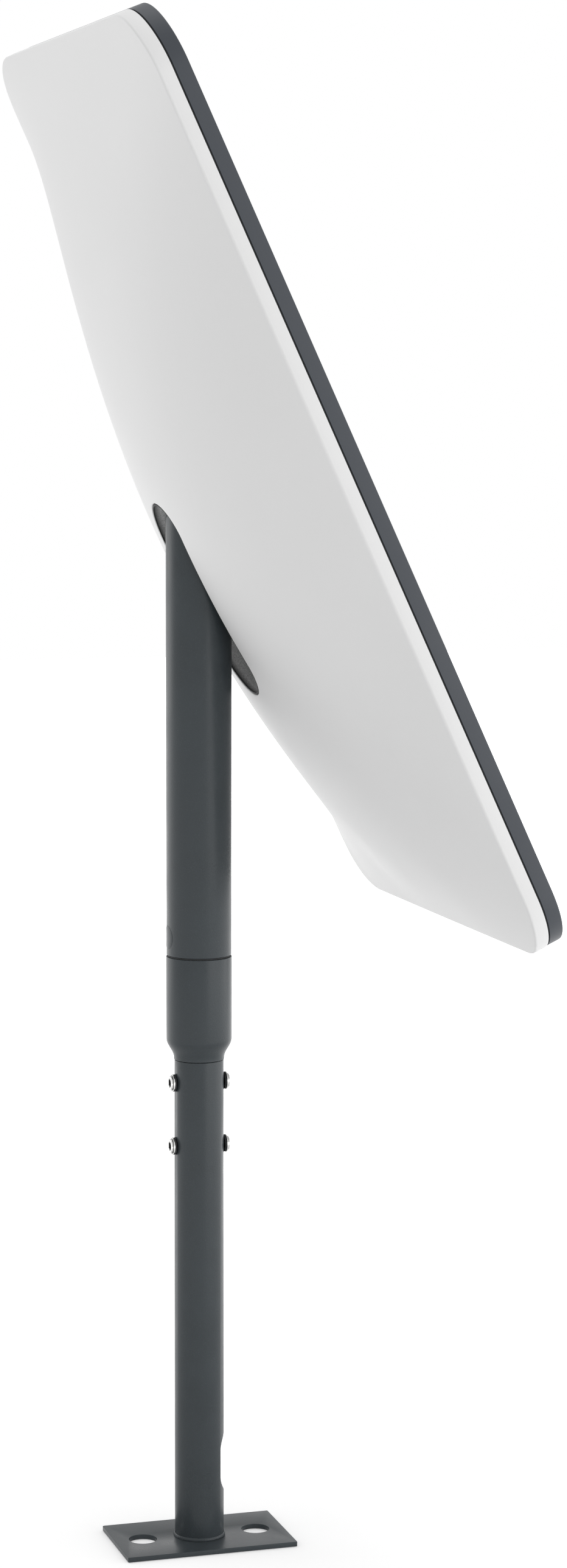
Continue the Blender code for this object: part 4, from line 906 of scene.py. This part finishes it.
def back_rings():
    """Rings of the domed back, from the lip of the slot out, round the edge, and back inside."""
    rings, shares = [], []

    def add(outline, height, share):
        rings.append(flat_ring(outline, height))
        shares.append(share)

    for i in range(LIP_STEPS):
        t = i / LIP_STEPS
        add(slot_outline(LIP_ROUND * t * t), LIP_ROUND * (1 - t) ** 2, 1.0)
    near, far = slot_outline(LIP_ROUND), panel_outline(EDGE_ROUND)
    for i in range(DOME_RINGS + 1):
        t = i / DOME_RINGS
        add(spread(near, far, t), 0.0, 1.0)
    for i in range(1, EDGE_STEPS + 1):
        t = i / EDGE_STEPS
        add(panel_outline(EDGE_ROUND * (1 - t) ** 2), EDGE_ROUND * t * t, 1.0)
    for x, y in arc(SHELL_LIP, 0.0, QUARTER, SHELL_LIP_STEPS):
        add(panel_outline(SHELL_LIP - x), SIDE_HEIGHT - SHELL_LIP + y, 0.0)
    add(panel_outline(SHELL_WALL), SIDE_HEIGHT, 0.0)
    inside = panel_outline(SHELL_WALL + EDGE_ROUND)
    slot = slot_outline(0.0)
    inner_rings = DOME_RINGS // 2
    for i in range(inner_rings + 1):
        add(spread(inside, slot, i / inner_rings), SHELL_WALL, 1.0)
    return rings, shares


def domed_shell():
    rings, shares = back_rings()
    mesh = domed(skin("domed_shell", rings, looped=True, shares=shares), MATERIALS["white_shell"])
    outwards(mesh)
    mesh.transform(PANEL_PLACE)
    show("domed_shell", mesh, "panel", "white_shell", ["back_shell"], angle=SHELL_SMOOTH_ANGLE)


def well():
    """The well round the head of the mast, with a rounded rim just below the dome, painted near black as the shade
    under the slot's lip.
    """
    outer = -GAP
    inner = outer - WELL_WALL
    middle = (outer + inner) / 2
    rim = WELL_WALL / 2
    deep = WELL_FLOOR + WELL_WALL
    rows = []  # growth from the slot's outline, height, share of the dome's own height
    for i in range(WELL_STEPS + 1):
        t = i / WELL_STEPS
        rows.append((inner, (deep + SOFT_EDGE) * t - deep, t))
    rows += [(middle - rim * math.cos(t), WELL_RIM_RECESS + rim * (1 - math.sin(t)), 1.0)
             for t in WELL_RIM_TURNS]
    flange = SHELL_WALL + GAP
    rows += [(outer, flange, 1.0), (WELL_FLANGE, flange, 1.0), (WELL_FLANGE, flange + WELL_WALL, 1.0),
             (outer, flange + WELL_WALL, 1.0), (outer, -WELL_FLOOR, 0.0)]
    rings = [flat_ring(slot_outline(grow), height) for grow, height, _ in rows]
    mesh = skin("well", rings, shares=[share for _, _, share in rows])
    mesh = domed(mesh, MATERIALS["grey_liner"])
    outwards(mesh)
    mesh.transform(PANEL_PLACE)
    shaft = Matrix.Translation(pivot) @ Matrix.Rotation(QUARTER, 4, "X")
    bore = rod("bush_hole", SHAFT_RADIUS + 2 * GAP, -SLOT_WIDTH, SLOT_WIDTH, shaft)
    show("well", cut(mesh, [bore]), "panel", "grey_liner", ["slot_liner"])


def gasket():
    outline = [panel_outline(GASKET_INSET), panel_outline(GASKET_INSET + GASKET_WIDTH)]
    mesh = plate_mesh("gasket", outline, PANEL_SEAM, SEAL_EDGE)
    mesh.transform(PANEL_PLACE @ Matrix.Translation((0.0, 0.0, SIDE_HEIGHT)))
    show("gasket", mesh, "panel", "black_rubber", ["perimeter_gasket"])


def rim():
    """The dark front rim, swept round the panel with softened edges, and its ledge for the cover."""
    ledge = cover_back - GAP
    section = filleted([
        (LEDGE_WIDTH, rim_back, 0.0), (BEZEL_INSET, rim_back, FINE_EDGE),
        (BEZEL_INSET, panel_front, BEZEL_EDGE), (BEZEL_WALL, panel_front, FINE_EDGE),
        (BEZEL_WALL, ledge, 0.0), (LEDGE_WIDTH, ledge, 0.0)], LIP_STEPS)
    mesh = skin("rim", [flat_ring(panel_outline(inset), height) for inset, height in section], looped=True)
    mesh.transform(PANEL_PLACE)
    show("rim", mesh, "panel", "dark_rim", ["bezel"])


def front_cover():
    mesh = plate_mesh("front_cover", [panel_outline(BEZEL_WALL + GAP)], COVER_THICKNESS, COVER_EDGE)
    mesh.transform(PANEL_PLACE @ Matrix.Translation((0.0, 0.0, cover_back)))
    show("front_cover", mesh, "panel", "white_front", ["front_radome"])


# ---------------------------------------------------------------- pieces kept as they are


def inner_pieces():
    """Gives each kept solid its finish."""
    slots = {entry["node"]: entry["material_slot"] for entry in frame["record"]["subparts"]}
    for name, obj in frame["nodes"].items():
        obj.data.materials.clear()
        obj.data.materials.append(MATERIALS[slots[name]])


# ---------------------------------------------------------------- stage

CAMERA_PLACE = Vector((-507.45, -1810.17, 623.27)) * MM
CAMERA_RIGHT = Vector((0.95686, -0.29053, 0.00165))
CAMERA_UP = Vector((0.03039, 0.10574, 0.99393))
CAMERA_LENS = 82.085
CAMERA_SENSOR = 36.0
CAMERA_SHIFT = (0.00496, -0.0048)
CAMERA_RANGE = (0.05, 50.0)


def camera():
    data = bpy.data.cameras.new("view")
    data.lens = CAMERA_LENS
    data.sensor_width = CAMERA_SENSOR
    data.shift_x, data.shift_y = CAMERA_SHIFT
    data.clip_start, data.clip_end = CAMERA_RANGE
    obj = bpy.data.objects.new("view", data)
    bpy.context.scene.collection.objects.link(obj)
    back = CAMERA_RIGHT.cross(CAMERA_UP).normalized()
    turn = Matrix((CAMERA_RIGHT, back.cross(CAMERA_RIGHT), back)).transposed()
    obj.matrix_world = Matrix.Translation(CAMERA_PLACE) @ turn.to_4x4()
    bpy.context.scene.camera = obj


def seen_directly(tree):
    """1 for rays that show the background: from the camera, or by a reflection or through glass."""
    path = add_node(tree, "ShaderNodeLightPath").outputs
    total = path["Is Camera Ray"]
    for key in ("Is Glossy Ray", "Is Transmission Ray"):
        total = add_node(tree, "ShaderNodeMath", {0: total, 1: path[key]}, operation="MAXIMUM").outputs[0]
    return total


AMBIENT = 0.76
FLOOR_REACH = 6.0
FLOOR_DROP = 0.2 * MM
FLOOR_COLOUR = (0.9, 0.9, 0.9)
FLOOR_GLOW = ((0.05, 0.24), (1.2, 1.0))  # how much white the camera sees added to the floor, by distance
LAMP_TARGET = Vector((0.0, 0.0, 0.4))

# Softboxes: place, width and height, power
LAMPS = {
    "overhead": ((0.1, 0.2, 2.6), (1.6, 1.6), 10.0),
    "left_edge": ((-2.6, 2.6, 0.6), (2.0, 3.0), 24.0),
    "right_broad": ((1.3, -2.1, 0.3), (1.5, 1.2), 14.0),
    "right_edge": ((1.9, -0.6, 0.25), (1.8, 0.9), 10.0),
}


def sky():
    """Even soft light, with a white background behind it."""
    world = bpy.data.worlds.new("studio")
    bpy.context.scene.world = world
    world.use_nodes = True
    tree = world.node_tree
    level = add_node(tree, "ShaderNodeMapRange", {
        "Value": seen_directly(tree), "To Min": AMBIENT, "To Max": 1.0})
    background = tree.nodes["Background"]
    background.inputs["Color"].default_value = (1.0, 1.0, 1.0, 1.0)
    put_in(tree, level.outputs["Result"], background.inputs["Strength"])


def floor():
    """Pale floor that fades to the white background, and keeps the object's soft shadow."""
    corners = [(x * FLOOR_REACH, y * FLOOR_REACH, 0.0) for x, y in ((-1, -1), (1, -1), (1, 1), (-1, 1))]
    mesh = bpy.data.meshes.new("floor")
    mesh.from_pydata(corners, [], [(0, 1, 2, 3)])
    mesh.materials.append(pale_floor())
    obj = bpy.data.objects.new("floor", mesh)
    obj.location.z = -FLOOR_DROP
    bpy.context.scene.collection.objects.link(obj)


def pale_floor():
    """A matt floor, to which the camera sees some white added, and more of it farther out."""
    material = bpy.data.materials.new("pale_floor")
    material.use_nodes = True
    tree = material.node_tree
    tree.nodes.remove(tree.nodes["Principled BSDF"])
    matt = add_node(tree, "ShaderNodeBsdfDiffuse", {"Color": (*FLOOR_COLOUR, 1.0)})
    place = add_node(tree, "ShaderNodeTexCoord").outputs["Object"]
    away = add_node(tree, "ShaderNodeVectorMath", {0: place}, operation="LENGTH").outputs["Value"]
    (near, least), (far, most) = FLOOR_GLOW
    glow = add_node(tree, "ShaderNodeMapRange", {
        "Value": away, "From Min": near, "From Max": far, "To Min": least, "To Max": most},
        interpolation_type="SMOOTHSTEP")
    shown = add_node(tree, "ShaderNodeMath", {0: glow.outputs["Result"], 1: seen_directly(tree)},
                     operation="MULTIPLY")
    white = add_node(tree, "ShaderNodeEmission", {"Strength": shown.outputs[0]})
    both = add_node(tree, "ShaderNodeAddShader", {0: matt.outputs[0], 1: white.outputs[0]})
    put_in(tree, both.outputs[0], tree.nodes["Material Output"].inputs["Surface"])
    return material


def lamps():
    for name, (place, (width, height), power) in LAMPS.items():
        data = bpy.data.lights.new(name, "AREA")
        data.shape = "RECTANGLE"
        data.size, data.size_y = width, height
        data.energy = power
        obj = bpy.data.objects.new(name, data)
        obj.location = place
        obj.rotation_mode = "QUATERNION"
        obj.rotation_quaternion = (LAMP_TARGET - Vector(place)).to_track_quat("-Z", "Y")
        bpy.context.scene.collection.objects.link(obj)


def main():
    camera()
    sky()
    floor()
    lamps()
    inner_pieces()
    foot_plate()
    weld()
    pole()
    collar()
    seam_ring()
    clamp_screws()
    clamp_washers()
    mast()
    mast_plug()
    domed_shell()
    well()
    gasket()
    rim()
    front_cover()
    bpy.context.scene.view_settings.view_transform = "Standard"


main()
